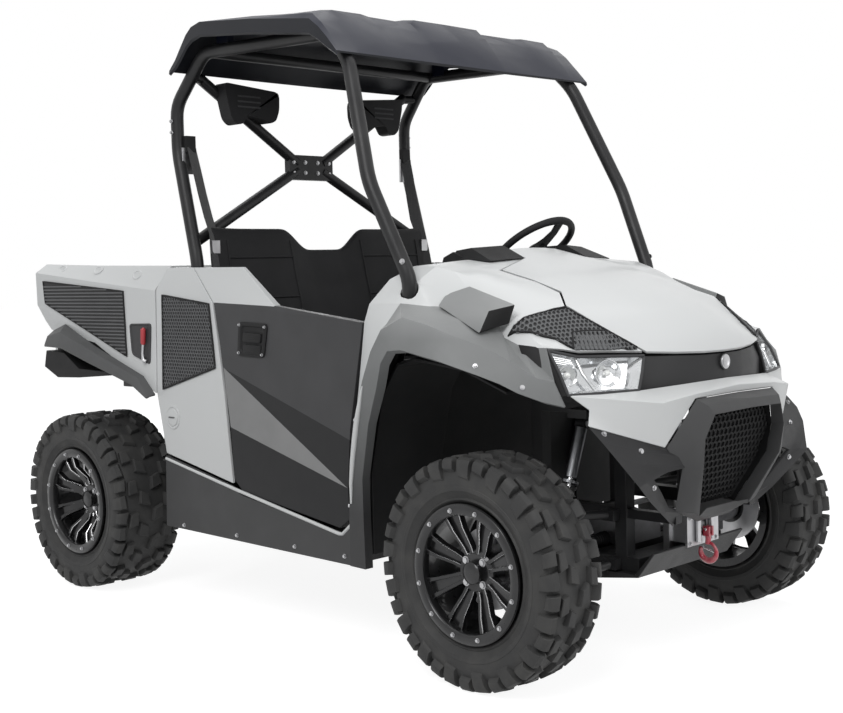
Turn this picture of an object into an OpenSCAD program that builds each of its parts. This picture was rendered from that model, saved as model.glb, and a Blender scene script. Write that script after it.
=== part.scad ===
// Two-seat side-by-side utility vehicle with a dumping cargo bed.
// Millimetres, +X forward, +Y to the left side, +Z up.
// The origin is on the ground, under the middle of the overall length.

/* [Overall] */
// Distance between the front and rear axles
wheelbase = 1916; // [1750:10:2300]
// Front axle to the front face of the bumper
front_overhang = 450; // [440:5:560]
// Rear axle to the outer face of the tailgate
rear_overhang = 394; // [380:5:480]
// Width over the front fender flares
flare_width = 1480; // [1440:10:1700]
// Width over the flat sides of the cab
cab_width = 1200; // [1150:10:1260]
// Ground to the crest of the roof
overall_height = 1965; // [1930:5:2200]
// Underside of the main frame rails above the ground
frame_clearance = 262; // [240:2:280]

/* [Wheels] */
// Outer diameter of every tyre
tyre_diameter = 632; // [560:4:640]
// Width of a front tyre
front_tyre_width = 208; // [170:2:220]
// Width of a rear tyre
rear_tyre_width = 262; // [210:2:266]
// Distance between the middles of the two front tyres
front_track = 1212; // [1190:2:1260]
// Distance between the middles of the two rear tyres
rear_track = 1176; // [1150:2:1240]
// Outer diameter of the rim barrel, where the tyre sits
rim_diameter = 356; // [330:2:380]
// Radius of the wheel spindle on each knuckle
spindle_r = 30; // [24:1:36]

/* [Panels] */
// Thickness of the body panels
panel_t = 10; // [6:1:14]
// Thickness of each door
door_t = 30; // [20:1:34]
// Gap between a moving panel and its neighbour
panel_gap = 6; // [5:0.5:8]
// Half width of the hood at its straight rear stretch
hood_half = 300; // [280:5:310]
// Half width of the hood between the two dash pods
hood_rear = 145; // [130:5:200]
// Height of the cab floor's upper face above the frame rails
floor_rise = 12; // [8:1:20]

/* [Bed] */
// Length of the cargo bed
bed_length = 775; // [700:5:780]
// Upper face of the bed floor above the ground
bed_floor_height = 806; // [790:2:830]
// Thickness of the bed's floor and walls
bed_wall = 10; // [6:1:14]
// Inside width of the bed
bed_inner_width = 1060; // [980:10:1080]

/* [Cage and frame] */
// Radius of the roll cage tubes
cage_r = 22; // [18:1:26]
// Side of the square main frame tubes
rail_size = 40; // [34:1:44]
// Middle of the frame to the middle of each main rail
rail_offset = 190; // [170:5:200]
// Radius of the suspension arm tubes
arm_r = 13; // [10:1:15]

/* [Steering and hitch] */
// Outer diameter of the steering wheel
steering_wheel_diameter = 320; // [300:5:360]
// Radius of the tie rods
tie_rod_r = 9; // [7:0.5:10]
// Inside width of the square hitch receiver
receiver_inner = 51; // [45:1:56]
// Wall of the square hitch receiver
receiver_wall = 6; // [5:0.5:8]
// Length of the hitch receiver's square tube
receiver_length = 215; // [210:1:218]
// Radius of the hitch cross pin hole
pin_hole_r = 8; // [6:0.5:9]

/* [Hidden] */
$fn = 48;
fit = 0.05;   // radial running clearance of pins and spindles
seat = 0.3;   // clearance where one piece rests on another

half_length = (front_overhang + wheelbase + rear_overhang) / 2;
fa = half_length - front_overhang;   // front axle
ra = fa - wheelbase;                 // rear axle
tyre_r = tyre_diameter / 2;
rim_r = rim_diameter / 2;
side = cab_width / 2;
lip = flare_width / 2;
ft = front_track / 2;
rt = rear_track / 2;
rail_top = frame_clearance + rail_size;
floor_top = rail_top + floor_rise;
bed_back = -half_length;
seam = bed_back + bed_length + 5;    // rear edge of the cab's side panels
door_front = fa - 545;               // front edge of the door at its foot
side_rail = side - 60;               // middle of the outer frame rails
kingpin = ft - 106;                  // steering axis of a front wheel
steer_arm = 106;                     // steering arm length behind the kingpin
arm_top = 34;                        // upper face of the steering arms above the wheel's axis
core_z = 560;                        // height that the body skins face

light = [0.80, 0.81, 0.81];
grey = [0.42, 0.43, 0.43];
dark = [0.20, 0.20, 0.21];
black = [0.08, 0.08, 0.085];
steel = [0.55, 0.56, 0.58];
roof_paint = [0.10, 0.11, 0.16];

// ---- Small geometry helpers ----

function unit(v) = v / norm(v);
function clamp(v, low, high) = min(max(v, low), high);
function flat(rows) = [for (row = rows) each row];
function mid(a, b, t = 0.5) = a + (b - a) * t;

// Signed volume of a closed mesh, positive when its faces turn anticlockwise seen from outside
function signed_volume(points, faces) =
    let (parts = [for (f = faces) points[f[0]] * cross(points[f[1]], points[f[2]])])
    parts * [for (p = parts) 1];

// Triangles of each face, taken as a fan
function fans(faces) = [for (f = faces) for (i = [1 : len(f) - 2]) [f[0], f[i], f[i + 1]]];

// The same triangles, all turned so that the mesh encloses its volume
function outward(points, faces) =
    signed_volume(points, faces) > 0 ? [for (f = faces) [f[2], f[1], f[0]]] : faces;

// Edges that only one face of a surface uses
function rim_edges(faces) =
    let (edges = [for (f = faces) for (i = [0 : len(f) - 1]) [f[i], f[(i + 1) % len(f)]]])
    [for (e = edges) if (len([for (o = edges) if (o[0] == e[1] && o[1] == e[0]) 1]) == 0) e];

// Closed solid between a surface and the same surface at its inner points
module skin(points, faces, inner) {
    n = len(points);
    both = concat(points, inner);
    back = [for (f = faces) [for (i = [len(f) : -1 : 1]) f[i % len(f)] + n]];
    walls = [for (e = rim_edges(faces)) [e[1], e[0], e[0] + n, e[1] + n]];
    polyhedron(both, outward(both, fans(concat(faces, back, walls))));
}

function grid_faces(rows, columns) =
    [for (i = [0 : rows - 2]) for (j = [0 : columns - 2]) let (k = i * columns + j)
        [k, k + 1, k + columns + 1, k + columns]];

// Skin over a grid of points, shifted by one vector
module grid_skin(rows, shift) {
    points = flat(rows);
    skin(points, grid_faces(len(rows), len(rows[0])), [for (p = points) p + shift]);
}

// Points moved in from the body's outer skin by t, towards its core line
function inward(p, t) =
    p + t * unit([clamp(p.x, ra, fa) - p.x, -p.y, core_z - p.z]);

// Skin over a grid of points with an even wall that faces the body's core line
module body_skin(rows, t = panel_t) {
    points = flat(rows);
    skin(points, grid_faces(len(rows), len(rows[0])), [for (p = points) inward(p, t)]);
}

// Solid bar that closes on itself, from its sections in order
module ring(rows) {
    n = len(rows);
    m = len(rows[0]);
    points = flat(rows);
    faces = [for (i = [0 : n - 1]) for (j = [0 : m - 1]) let (k = (i + 1) % n, l = (j + 1) % m)
        [i * m + j, i * m + l, k * m + l, k * m + j]];
    polyhedron(points, outward(points, fans(faces)));
}

// A half row from the middle outwards becomes a whole row from right to left
function whole_row(half) =
    concat([for (i = [len(half) - 1 : -1 : 1]) [half[i].x, -half[i].y, half[i].z]], half);

// Rows given ahead of the front axle
function ahead(rows) = [for (row = rows) [for (p = row) [fa + p.x, p.y, p.z]]];

module both_sides() {
    children();
    mirror([0, 1, 0]) children();
}

// Side plate from an outline of [x, z] points, from y = near inwards to y = far
module side_plate(outline, near, far) {
    translate([0, max(near, far), 0])
        rotate([90, 0, 0])
            linear_extrude(abs(near - far)) polygon(outline);
}

module box(low, high) {
    translate(low) cube(high - low);
}

// Round bar between two points
module rod(a, b, r, fn = 32) {
    d = b - a;
    translate(a)
        rotate([0, acos(d.z / norm(d)), atan2(d.y, d.x)])
            cylinder(h = norm(d), r = r, $fn = fn);
}

// Corner of a path, rounded as a curve of the given number of steps
function rounded(path, reach, steps = 4) =
    [for (i = [0 : len(path) - 1])
        each (i == 0 || i == len(path) - 1) ? [path[i]] :
            let (a = path[i] + unit(path[i - 1] - path[i]) * reach,
                 b = path[i] + unit(path[i + 1] - path[i]) * reach)
            [for (k = [0 : steps]) let (t = k / steps)
                a * (1 - t) * (1 - t) + path[i] * 2 * t * (1 - t) + b * t * t]];

// Tube swept along a path, its rings held square to a fixed side vector
module tube(path, r, side_vector = [0, 1, 0], sides = 14) {
    n = len(path);
    rings = [for (i = [0 : n - 1])
        let (t = unit(path[min(i + 1, n - 1)] - path[max(i - 1, 0)]),
             u = unit(cross(t, side_vector)),
             v = cross(u, t))
        [for (k = [0 : sides - 1]) let (a = 360 * k / sides)
            path[i] + r * (cos(a) * u + sin(a) * v)]];
    points = flat(rings);
    wall = [for (i = [0 : n - 2]) for (k = [0 : sides - 1]) let (m = (k + 1) % sides)
        [i * sides + k, i * sides + m, (i + 1) * sides + m, (i + 1) * sides + k]];
    ends = [[for (k = [sides - 1 : -1 : 0]) k], [for (k = [0 : sides - 1]) (n - 1) * sides + k]];
    polyhedron(points, outward(points, fans(concat(wall, ends))));
}

// ---- Frame and running gear ----

front_bay = fa - 170;      // rear end of the front suspension bay
front_bay_end = fa + 170;  // front end of the front suspension bay
rear_bay = ra - 150;       // rear end of the rear suspension bay
rear_bay_end = ra + 150;   // front end of the rear suspension bay
upper_rail = 400;          // underside of the upper suspension rails
bed_rail_top = 724;        // upper face of the rails that carry the bed
bed_rail_y = 250;          // middle of each bed rail
tower_top = 740;           // upper face of the front shock tower
shock_x = 32;              // shock absorbers ahead of each axle, clear of the half shafts
shock_top_front = 690;     // seats over the upper ends of the shock absorbers
shock_top_rear = 664;

module main_rail(y) {
    box([rear_bay - 20, y - rail_size / 2, frame_clearance],
        [front_bay_end + 40, y + rail_size / 2, rail_top]);
    box([front_bay, y - rail_size / 2, upper_rail],
        [front_bay_end, y + rail_size / 2, upper_rail + rail_size]);
    box([rear_bay, y - rail_size / 2, upper_rail],
        [rear_bay_end, y + rail_size / 2, upper_rail + rail_size]);
    for (x = [front_bay, front_bay_end - rail_size])
        box([x, y - rail_size / 2, rail_top - 5],
            [x + rail_size, y + rail_size / 2, tower_top - 5]);
    for (x = [rear_bay, rear_bay_end - rail_size])
        box([x, y - rail_size / 2, rail_top - 5],
            [x + rail_size, y + rail_size / 2, bed_rail_top - 5]);
    box([front_bay, y - rail_size / 2, tower_top - rail_size],
        [front_bay_end, y + rail_size / 2, tower_top]);
}

module cross_rail(x, reach, z = frame_clearance) {
    box([x, -reach, z], [x + rail_size, reach, z + rail_size]);
}

module frame() {
    color(black) union() {
        main_rail(rail_offset);
        main_rail(-rail_offset);
        for (s = [-1, 1]) {
            box([seam + 30, s * side_rail - rail_size / 2, frame_clearance],
                [door_front + 35, s * side_rail + rail_size / 2, rail_top]);
            box([bed_back + 60, s * bed_rail_y - rail_size / 2, bed_rail_top - rail_size],
                [seam - 10, s * bed_rail_y + rail_size / 2, bed_rail_top]);
            box([seam - 50, s * bed_rail_y - rail_size / 2, rail_top - 5],
                [seam - 10, s * bed_rail_y + rail_size / 2, bed_rail_top - 5]);
        }
        cross_rail(seam + 30, side_rail + rail_size / 2);
        cross_rail(seam - 50, bed_rail_y + rail_size / 2);
        cross_rail(door_front - 5, side_rail + rail_size / 2);
        cross_rail(door_front - 420, side_rail + rail_size / 2);
        for (x = [front_bay, front_bay_end - rail_size, rear_bay, rear_bay_end - rail_size])
            cross_rail(x, rail_offset);
        for (x = [fa, ra]) for (d = [-75, 35]) cross_rail(x + d, rail_offset);
        cross_rail(front_bay_end, rail_offset + rail_size / 2);
        cross_rail(rack_x - 26, rail_offset);
        cross_rail(front_bay, rail_offset, tower_top - rail_size);
        cross_rail(front_bay_end - rail_size, rail_offset, tower_top - rail_size);
        cross_rail(rear_bay, bed_rail_y, bed_rail_top - rail_size);
        cross_rail(rear_bay_end - rail_size, bed_rail_y, bed_rail_top - rail_size);
        cross_rail(bed_back + 60, bed_rail_y, bed_rail_top - rail_size);
        // Shock absorber seats, front and rear, and the horns that carry the bumper
        for (s = [-1, 1]) {
            box([fa + shock_x - 35, s * 225 - 25, shock_top_front], [fa + shock_x + 35, s * 225 + 25, 716]);
            box([ra + shock_x - 35, s * 225 - 25, shock_top_rear], [ra + shock_x + 35, s * 225 + 25, 690]);
            box([front_bay_end - 5, s * rail_offset - 14, 412], [fa + 332, s * rail_offset + 14, 438]);
        }
        box([ra + shock_x - 35, -225, bed_rail_top - rail_size], [ra + shock_x + 35, 225, bed_rail_top - 8]);
        // Brackets that carry the roll cage's feet
        for (s = [-1, 1]) box([seam + 160, s * side_rail - 20, rail_top - 5],
            [seam + 200, s * side_rail + 20, rail_top + 20]);
    }
}

module skid_plate() {
    color(dark)
        rotate([90, 0, 0]) translate([0, 0, -230]) linear_extrude(460)
            polygon([[door_front + 40, frame_clearance - 1], [front_bay_end + 40, frame_clearance - 1],
                [front_bay_end + 100, 330], [front_bay_end + 106, 326],
                [front_bay_end + 50, frame_clearance - 9], [fa - 10, frame_clearance - 40],
                [door_front + 60, frame_clearance - 9], [door_front + 40, frame_clearance - 9]]);
}

module cab_floor() {
    tunnel = 24;
    color(black) difference() {
        union() {
            translate([0, side - 95, 0]) rotate([90, 0, 0]) linear_extrude(2 * (side - 95))
                polygon([[seam + 220, rail_top + seat], [door_front + 10, rail_top + seat],
                    [door_front + 120, 640], [door_front + 140, 860], [door_front + 128, 862],
                    [door_front + 106, 648], [door_front + 4, floor_top], [seam + 220, floor_top]]);
            box([seam + 220, -tunnel - 10, floor_top - 3], [door_front + 15, tunnel + 10, 366]);
        }
        box([seam + 210, -tunnel, rail_top - 5], [door_front + 60, tunnel, 356]);
    }
}

module seat_base() {
    top = 610;
    color(black) difference() {
        box([seam + 230, -side + 62, floor_top + seat], [seam + 740, side - 62, top]);
        box([seam + 220, -side + 74, floor_top - 5], [seam + 728, side - 74, top - 12]);
        box([seam + 220, -35, floor_top - 5], [seam + 750, 35, 367]);
    }
}

module cab_back_panel() {
    x = seam + 24;
    color(black) difference() {
        box([x, -side + 26, rail_top + seat], [x + 10, side - 26, 1130]);
        // Cut clear of the cross member, the engine and the bed's side panels
        box([x - 4, -rail_offset - 40, rail_top - 1], [x + 14, rail_offset + 40, rail_top + 54]);
        box([x - 4, -171, rail_top - 1], [x + 14, 171, 606]);
        for (y = [-side, side - 70]) box([x - 4, y, 1040], [x + 14, y + 70, 1140]);
    }
}

module engine_block() {
    color(steel) difference() {
        box([seam - 4, -165, rail_top + seat], [seam + 218, 165, 600]);
        // Channel over the drive shaft
        box([seam - 10, -24, rail_top - 5], [seam + 224, 24, 356]);
    }
}

module muffler() {
    color(steel) {
        y = -rail_offset + rail_size / 2 + seat + 55;
        translate([rear_bay - 60, y, 560]) rotate([0, 90, 0]) cylinder(h = 420, r = 55);
        translate([rear_bay - 105, y, 545]) rotate([0, 90, 0]) cylinder(h = 60, r = 18);
    }
}

module axle_gearcases() {
    color(black) for (x = [fa, ra]) {
        box([x - 80, -85, rail_top + seat], [x + 80, 85, 372]);
        translate([x, 0, 346]) rotate([90, 0, 0]) translate([0, 0, -62]) cylinder(h = 124, r = 42);
    }
}

module drive_shafts() {
    shaft_r = 12;
    boot_r = 22;
    color(steel) {
        for (s = [-1, 1]) {
            for (end = [[fa, kingpin - 40], [ra, rt - 128 - 16 - seat]]) {
                a = [end[0], s * (85 + seat), tyre_r];
                b = [end[0], s * end[1], tyre_r];
                rod(a, b, shaft_r);
                rod(a, a + [0, s * 60, 0], boot_r);
                rod(b - [0, s * 60, 0], b, boot_r);
            }
        }
        rod([ra + 80 + seat, 0, tyre_r + 14], [fa - 80 - seat, 0, tyre_r + 14], 16);
    }
}

lower_ball = -84;   // lower ball joint below the wheel's axis
upper_ball = 118;   // upper ball joint above the wheel's axis
ball_r = 10;        // kingpin pins
shock_foot = tyre_r - 42;   // plates on the lower arms that carry the shock absorbers

// One wishbone: two tubes from the frame rail to an eye on the kingpin axis
module wishbone(x, spread, inner_z, ball, ball_z, bore) {
    face = rail_offset + rail_size / 2 + seat;
    difference() {
        union() {
            for (sx = [-1, 1]) {
                rod([x + sx * spread, face + 14, inner_z], [x, ball, ball_z], arm_r);
                box([x + sx * spread - 22, face, inner_z - 15],
                    [x + sx * spread + 22, face + 30, inner_z + 15]);
            }
            translate([x, ball, ball_z - 14]) cylinder(h = 28, r = 24);
        }
        if (bore) translate([x, ball, ball_z - 40]) cylinder(h = 80, r = ball_r + fit);
    }
}

module suspension_arms() {
    color(black) both_sides() {
        wishbone(fa, 130, rail_top - 20, kingpin, tyre_r + lower_ball, true);
        wishbone(fa, 124, upper_rail + 20, kingpin, tyre_r + upper_ball, true);
        wishbone(ra, 110, rail_top - 20, rt - 128, tyre_r + lower_ball, false);
        wishbone(ra, 116, upper_rail + 20, rt - 128, tyre_r + upper_ball, false);
        // Cross plates that carry the lower ends of the shock absorbers
        for (end = [[fa, kingpin - 120], [ra, rt - 128 - 110]])
            box([end[0] - 52, end[1] - 22, tyre_r - 58], [end[0] + 78, end[1] + 22, shock_foot]);
    }
}

module shock(x, low_y, low_z, high_y, high_z) {
    a = [x, low_y, low_z];
    b = [x, high_y, high_z];
    d = unit(b - a);
    rod(a, b, 11);
    rod(a + d * 50, a + d * 240, 27);
    rod(a + d * 200, b - d * 30, 20);
    for (p = [a, b])
        translate(p - [16, 0, 0]) rotate([0, 90, 0]) cylinder(h = 32, r = 16);
}

module shock_absorbers() {
    color(steel) both_sides() {
        shock(fa + shock_x, kingpin - 120, shock_foot + seat + 16, 225, shock_top_front - seat - 16);
        shock(ra + shock_x, rt - 128 - 110, shock_foot + seat + 16, 225, shock_top_rear - seat - 16);
    }
}

// ---- Wheels and knuckles ----

hub_face = 34;   // middle of the tyre out to the rim's mounting face

module tyre(width) {
    w = width / 2;
    half = [[rim_r + seat, w - 40], [rim_r + 18, w - 20], [rim_r + 60, w - 1], [tyre_r - 60, w],
        [tyre_r - 24, w - 2], [tyre_r - 4, w - 10], [tyre_r, w * 0.6]];
    inner = [[tyre_r - 26, w * 0.45], [tyre_r - 34, w - 38], [tyre_r - 60, w - 22],
        [rim_r + 60, w - 22], [rim_r + 24, w - 40], [rim_r + seat, w - 56]];
    outline = concat(half, [for (i = [len(half) - 1 : -1 : 0]) [half[i].x, -half[i].y]]);
    hole = concat(inner, [for (i = [len(inner) - 1 : -1 : 0]) [inner[i].x, -inner[i].y]]);
    rotate([90, 0, 0]) rotate_extrude($fn = 96) difference() {
        polygon(outline);
        polygon(concat(hole, [[rim_r - 10, -w + 56], [rim_r - 10, w - 56]]));
    }
}

// Rim with its hub; the outer face looks along -Y
module rim(width) {
    w = width / 2 - 16;
    rotate([90, 0, 0]) difference() {
        union() {
            rotate_extrude($fn = 96) polygon([[rim_r - 12, -w - 6], [rim_r + 12, -w - 6], [rim_r + 12, -w],
                [rim_r, -w], [rim_r, w], [rim_r + 12, w], [rim_r + 12, w + 6], [rim_r - 12, w + 6],
                [rim_r - 12, w - 14], [rim_r - 8, w - 20], [rim_r - 8, -w + 14], [rim_r - 12, -w + 8]]);
            difference() {
                translate([0, 0, hub_face]) cylinder(h = 16, r = rim_r - 4);
                for (k = [0 : 7]) rotate([0, 0, 45 * k]) translate([rim_r * 0.62, 0, hub_face - 5])
                    cylinder(h = 30, r = rim_r * 0.16, $fn = 24);
            }
            translate([0, 0, hub_face + 10]) cylinder(h = 22, r = 46);
            translate([0, 0, -14]) cylinder(h = hub_face + 20, r = 56);
            translate([0, 0, -12]) cylinder(h = 5, r = 112);
        }
        translate([0, 0, -30]) cylinder(h = hub_face + 46, r = spindle_r + fit);
    }
}

module wheel_place(x, y) {
    translate([x, y, tyre_r]) mirror([0, y > 0 ? 1 : 0, 0]) children();
}

module tyre_front_right() { color(black) wheel_place(fa, -ft) tyre(front_tyre_width); }
module tyre_front_left() { color(black) wheel_place(fa, ft) tyre(front_tyre_width); }
module tyre_rear_right() { color(black) wheel_place(ra, -rt) tyre(rear_tyre_width); }
module tyre_rear_left() { color(black) wheel_place(ra, rt) tyre(rear_tyre_width); }
module rim_front_right() { color(dark) wheel_place(fa, -ft) rim(front_tyre_width); }
module rim_front_left() { color(dark) wheel_place(fa, ft) rim(front_tyre_width); }
module rim_rear_right() { color(dark) wheel_place(ra, -rt) rim(rear_tyre_width); }
module rim_rear_left() { color(dark) wheel_place(ra, rt) rim(rear_tyre_width); }

// Upright with its spindle, built about the wheel's middle; the spindle points along -Y
module upright(inset) {
    union() {
        box([-26, inset - 16, lower_ball + 20], [26, inset + 16, upper_ball - 20]);
        translate([0, inset + 14, 0]) rotate([90, 0, 0]) cylinder(h = inset - 8, r = 44);
        translate([0, inset, 0]) rotate([90, 0, 0]) cylinder(h = inset + hub_face + 14, r = spindle_r);
    }
}

module rear_knuckles() {
    color(black) both_sides() wheel_place(ra, rt) union() {
        upright(128);
        for (z = [lower_ball + 14 + seat, upper_ball - 20 - seat])
            box([-20, 112, z], [20, 126, z + 6 - seat]);
    }
}

module knuckle_front(side_sign) {
    inset = ft - kingpin;
    color(black) translate([fa, side_sign * ft, tyre_r]) mirror([0, side_sign > 0 ? 1 : 0, 0]) union() {
        upright(inset);
        translate([0, inset, lower_ball - 14]) cylinder(h = 40, r = ball_r);
        translate([0, inset, upper_ball - 26]) cylinder(h = 40, r = ball_r);
        box([-steer_arm - 14, inset + 8, arm_top - 16], [0, inset + 26, arm_top]);
        box([-steer_arm - 14, inset + 8, arm_top - 16], [-steer_arm + 14, inset + 40, arm_top]);
        // Brake caliper astride the disc
        difference() {
            box([-30, -4, 70], [30, 34, 126]);
            box([-32, 2, 60], [32, 22, 117]);
        }
        box([-30, 30, 66], [30, inset - 10, 90]);
    }
}

module knuckle_front_right() { knuckle_front(-1); }
module knuckle_front_left() { knuckle_front(1); }

// ---- Steering ----

rack_x = fa - steer_arm;
rack_z = tyre_r + arm_top + 10 + tie_rod_r;
rack_r = 13;
wheel_hub = [fa - 560, 285, 1191];       // middle of the steering wheel
column_foot = [fa - 415, 285, 991];      // lower end of the steering column

module steering_rack() {
    reach = kingpin - 26;
    color(steel) {
        rod([rack_x, -180, rack_z], [rack_x, 180, rack_z], rack_r);
        for (s = [-1, 1]) {
            rod([rack_x, s * 178, rack_z], [rack_x, s * reach, rack_z], tie_rod_r);
            translate([rack_x, s * reach, rack_z - tie_rod_r - 2]) cylinder(h = 2 * tie_rod_r + 4, r = 13);
        }
    }
}

module steering_column() {
    d = unit(column_foot - wheel_hub);
    color(black) {
        rod(wheel_hub + d * 52, column_foot, 18);
        // Housing that the steering rack slides in
        difference() {
            union() {
                rod([rack_x, -120, rack_z], [rack_x, 120, rack_z], rack_r + 9);
                for (y = [-70, 70])
                    box([rack_x - 20, y - 25, rail_top + seat], [rack_x + 14, y + 25, rack_z]);
            }
            rod([rack_x, -200, rack_z], [rack_x, 200, rack_z], rack_r + fit);
        }
    }
}

module steering_wheel() {
    r = steering_wheel_diameter / 2 - 13;
    tilt = atan2(column_foot.x - wheel_hub.x, wheel_hub.z - column_foot.z);
    color(black) translate(wheel_hub) rotate([0, -tilt, 0]) union() {
        rotate_extrude($fn = 64) translate([r, 0]) circle(r = 13, $fn = 24);
        for (a = [0, 120, 240]) rotate([0, 0, a]) box([20, -13, -26], [r, 13, -8]);
        translate([0, 0, -46]) cylinder(h = 44, r = 42);
    }
}

// ---- Front body ----

module hood() {
    half = [
        [[-328, 0, 1186], [-328, 60, 1185], [-328, 110, 1182], [-328, hood_rear, 1176]],
        [[-235, 0, 1162], [-235, 60, 1161], [-235, 110, 1158], [-235, hood_rear, 1154]],
        [[-195, 0, 1150], [-195, 100, 1148], [-195, 200, 1140], [-195, hood_half, 1120]],
        [[-80, 0, 1120], [-80, 100, 1118], [-80, 200, 1112], [-80, hood_half, 1090]],
        [[23, 0, 1084], [23, 100, 1082], [23, 200, 1077], [23, hood_half, 1056]],
        [[120, 0, 1051], [120, 100, 1048], [115, 200, 1036], [98, 372, 1019]],
        [[220, 0, 1012], [220, 100, 1006], [210, 200, 985], [193, 332, 958]],
        [[305, 0, 958], [302, 100, 951], [288, 200, 932], [263, 303, 914]],
        [[350, 0, 914], [344, 100, 911], [322, 200, 904], [290, 290, 899]],
        [[370, 0, 881], [362, 100, 882], [336, 200, 886], [301, 284, 891]]];
    color(light) body_skin([for (row = ahead(half)) whole_row(row)]);
}

// Outer edge of the light fender, shared with the flare: from the foot of the leg forwards
fender_line = [[-515, side + 18, 513], [-465, side + 32, 688], [-419, side + 42, 812],
    [-376, side + 48, 897], [-328, side + 48, 975], [-302, side + 15, 1031],
    [-240, side - 35, 1021], [-150, side - 80, 1018], [-70, side - 85, 990], [-20, side - 88, 962],
    [0, side - 68, 940], [80, side - 62, 912], [156, side - 64, 912]];

module front_fenders() {
    e = hood_half + panel_gap;
    r = hood_rear + panel_gap;
    line = fender_line;
    top = [
        [[-328, r, 1160], [-335, 320, 1150], [-355, side - 96, 1136], [-385, side - 26, 1100],
            [-440, side + 6, 1030]],
        [[-240, r, 1150], [-260, 320, 1140], [-280, side - 110, 1134], [-295, side - 40, 1088], line[5]],
        [[-201, e, 1118], [-210, 380, 1126], [-222, side - 125, 1118], [-232, side - 70, 1076], line[6]],
        [[-140, e, 1102], [-145, 385, 1108], [-150, side - 148, 1096], [-150, side - 108, 1064], line[7]],
        [[-60, e, 1082], [-60, 385, 1072], [-60, side - 155, 1050], [-65, side - 115, 1022], line[8]],
        [[23, e, 1051], [20, 380, 1040], [5, side - 150, 1016], [-10, side - 115, 988], line[9]],
        [[98, 378, 1015], [75, 440, 998], [50, side - 110, 985], [20, side - 80, 965], line[10]],
        [[199, 338, 952], [170, 400, 948], [130, side - 130, 943], [100, side - 85, 930], line[11]],
        [[295, 296, 893], [235, 380, 897], [196, side - 150, 899], [172, side - 105, 908], line[12]]];
    strip = [
        [top[0][4], [-370, side + 12, 1031], line[5]],
        [[-459, side + 10, 978], [-390, side + 36, 977], line[4]],
        [[-470, side + 12, 897], [-420, side + 34, 897], line[3]],
        [[-482, side + 14, 812], [-450, side + 30, 812], line[2]],
        [[-502, side + 16, 688], [-484, side + 26, 688], line[1]],
        [[-532, side + 14, 500], [-524, side + 16, 506], line[0]]];
    a = cage_side_path;
    color(light) both_sides() difference() {
        union() {
            body_skin(ahead(top));
            body_skin(ahead(strip));
        }
        tube(a, cage_r + 4);
    }
}

// Raised scoop on top of each flare, a closed block from its rear tip to its open front face
module flare_scoops() {
    top = [[-212, side - 77, 1056], [-143, side - 100, 1077], [28, side - 98, 1025], [4, side - 14, 1011]];
    low = [[-200, side - 30, 1024], [-143, side - 98, 1046], [8, side - 94, 972], [0, side + 22, 952]];
    points = [for (p = concat(top, low)) [fa + p.x, p.y, p.z]];
    faces = fans([[3, 2, 1, 0], [4, 5, 6, 7], [0, 1, 5, 4], [1, 2, 6, 5], [2, 3, 7, 6], [3, 0, 4, 7]]);
    color(grey) both_sides() polyhedron(points, outward(points, faces));
}

// Points moved in from the outer skin by t, turned by a share from inwards to away from the wheel
function tucked(p, t, share) =
    p + t * unit((1 - share) * (inward(p, 1) - p) + share * unit([p.x - fa, 0, p.z - tyre_r]));

module front_flares() {
    flare_t = 8;
    line = fender_line;
    g = 1.5;
    // Inner edge, crease, lip and turned-in edge at each station, foot first
    rows = [
        [[-530, side + 16, 262], [-505, side + 50, 262], [-433, side + 55, 262], [-433, side + 25, 262]],
        [[-522, side + 18, 400], [-498, side + 55, 400], [-431, side + 60, 400], [-431, side + 30, 400]],
        [line[0] + [g, g, 0], [-485, side + 62, 526], [-427, side + 65, 526], [-427, side + 35, 526]],
        [line[1] + [g, g, 0], [-438, side + 80, 690], [-378, side + 82, 690], [-376, side + 50, 690]],
        [line[2] + [g, g, 0], [-385, side + 95, 815], [-324, side + 97, 800], [-320, side + 64, 796]],
        [line[3] + [g, g, 0], [-330, side + 112, 900], [-290, lip - 28, 868], [-284, lip - 58, 862]],
        [line[4] + [g, g, 0], [-280, side + 118, 962], [-250, lip - 16, 904], [-246, lip - 46, 896]],
        [line[5] + [0, g, g], [-196, lip - 24, 998], [-185, lip - 3, 910], [-183, lip - 34, 900]],
        [line[6] + [0, g, g], [-110, lip - 32, 978], [-120, lip, 899], [-120, lip - 32, 888]],
        [line[7] + [0, g, g], [-30, side + 90, 948], [-50, lip, 886], [-50, lip - 34, 875]],
        [line[8] + [0, g, g], [38, side + 62, 922], [65, side + 104, 848], [64, side + 72, 838]],
        [line[9] + [0, g, g], [80, side + 48, 904], [110, side + 72, 826], [108, side + 42, 816]],
        [line[10] + [0, g, g], [120, side + 32, 880], [150, side + 46, 801], [148, side + 18, 792]],
        [line[11] + [0, g, g], [180, side + 2, 838], [198, side + 2, 776], [194, side - 22, 768]],
        [line[12] + [4, g, 0], [205, side - 38, 826], [228, side - 50, 760], [222, side - 58, 757]]];
    points = flat(ahead(rows));
    shares = [0, 0, 0.33, 1];    // how far each column's wall turns from inwards to away from the wheel
    color(grey) both_sides() difference() {
        skin(points, grid_faces(len(rows), 4),
            [for (i = [0 : len(points) - 1]) tucked(points[i], flare_t, shares[i % 4])]);
        tube(cage_side_path, cage_r + 4);
    }
}

module arch_liners() {
    inner = 330;
    outline = [[-440, 300], [-440, 540], [-385, 770], [-320, 862], [-250, 880], [-60, 856], [90, 800],
        [90, 792], [-62, 848], [-250, 872], [-314, 855], [-378, 765], [-432, 538], [-432, 300]];
    color(black) both_sides() {
        side_plate([for (p = outline) [fa + p.x, p.y]], inner, side + 20);
    }
}

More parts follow.
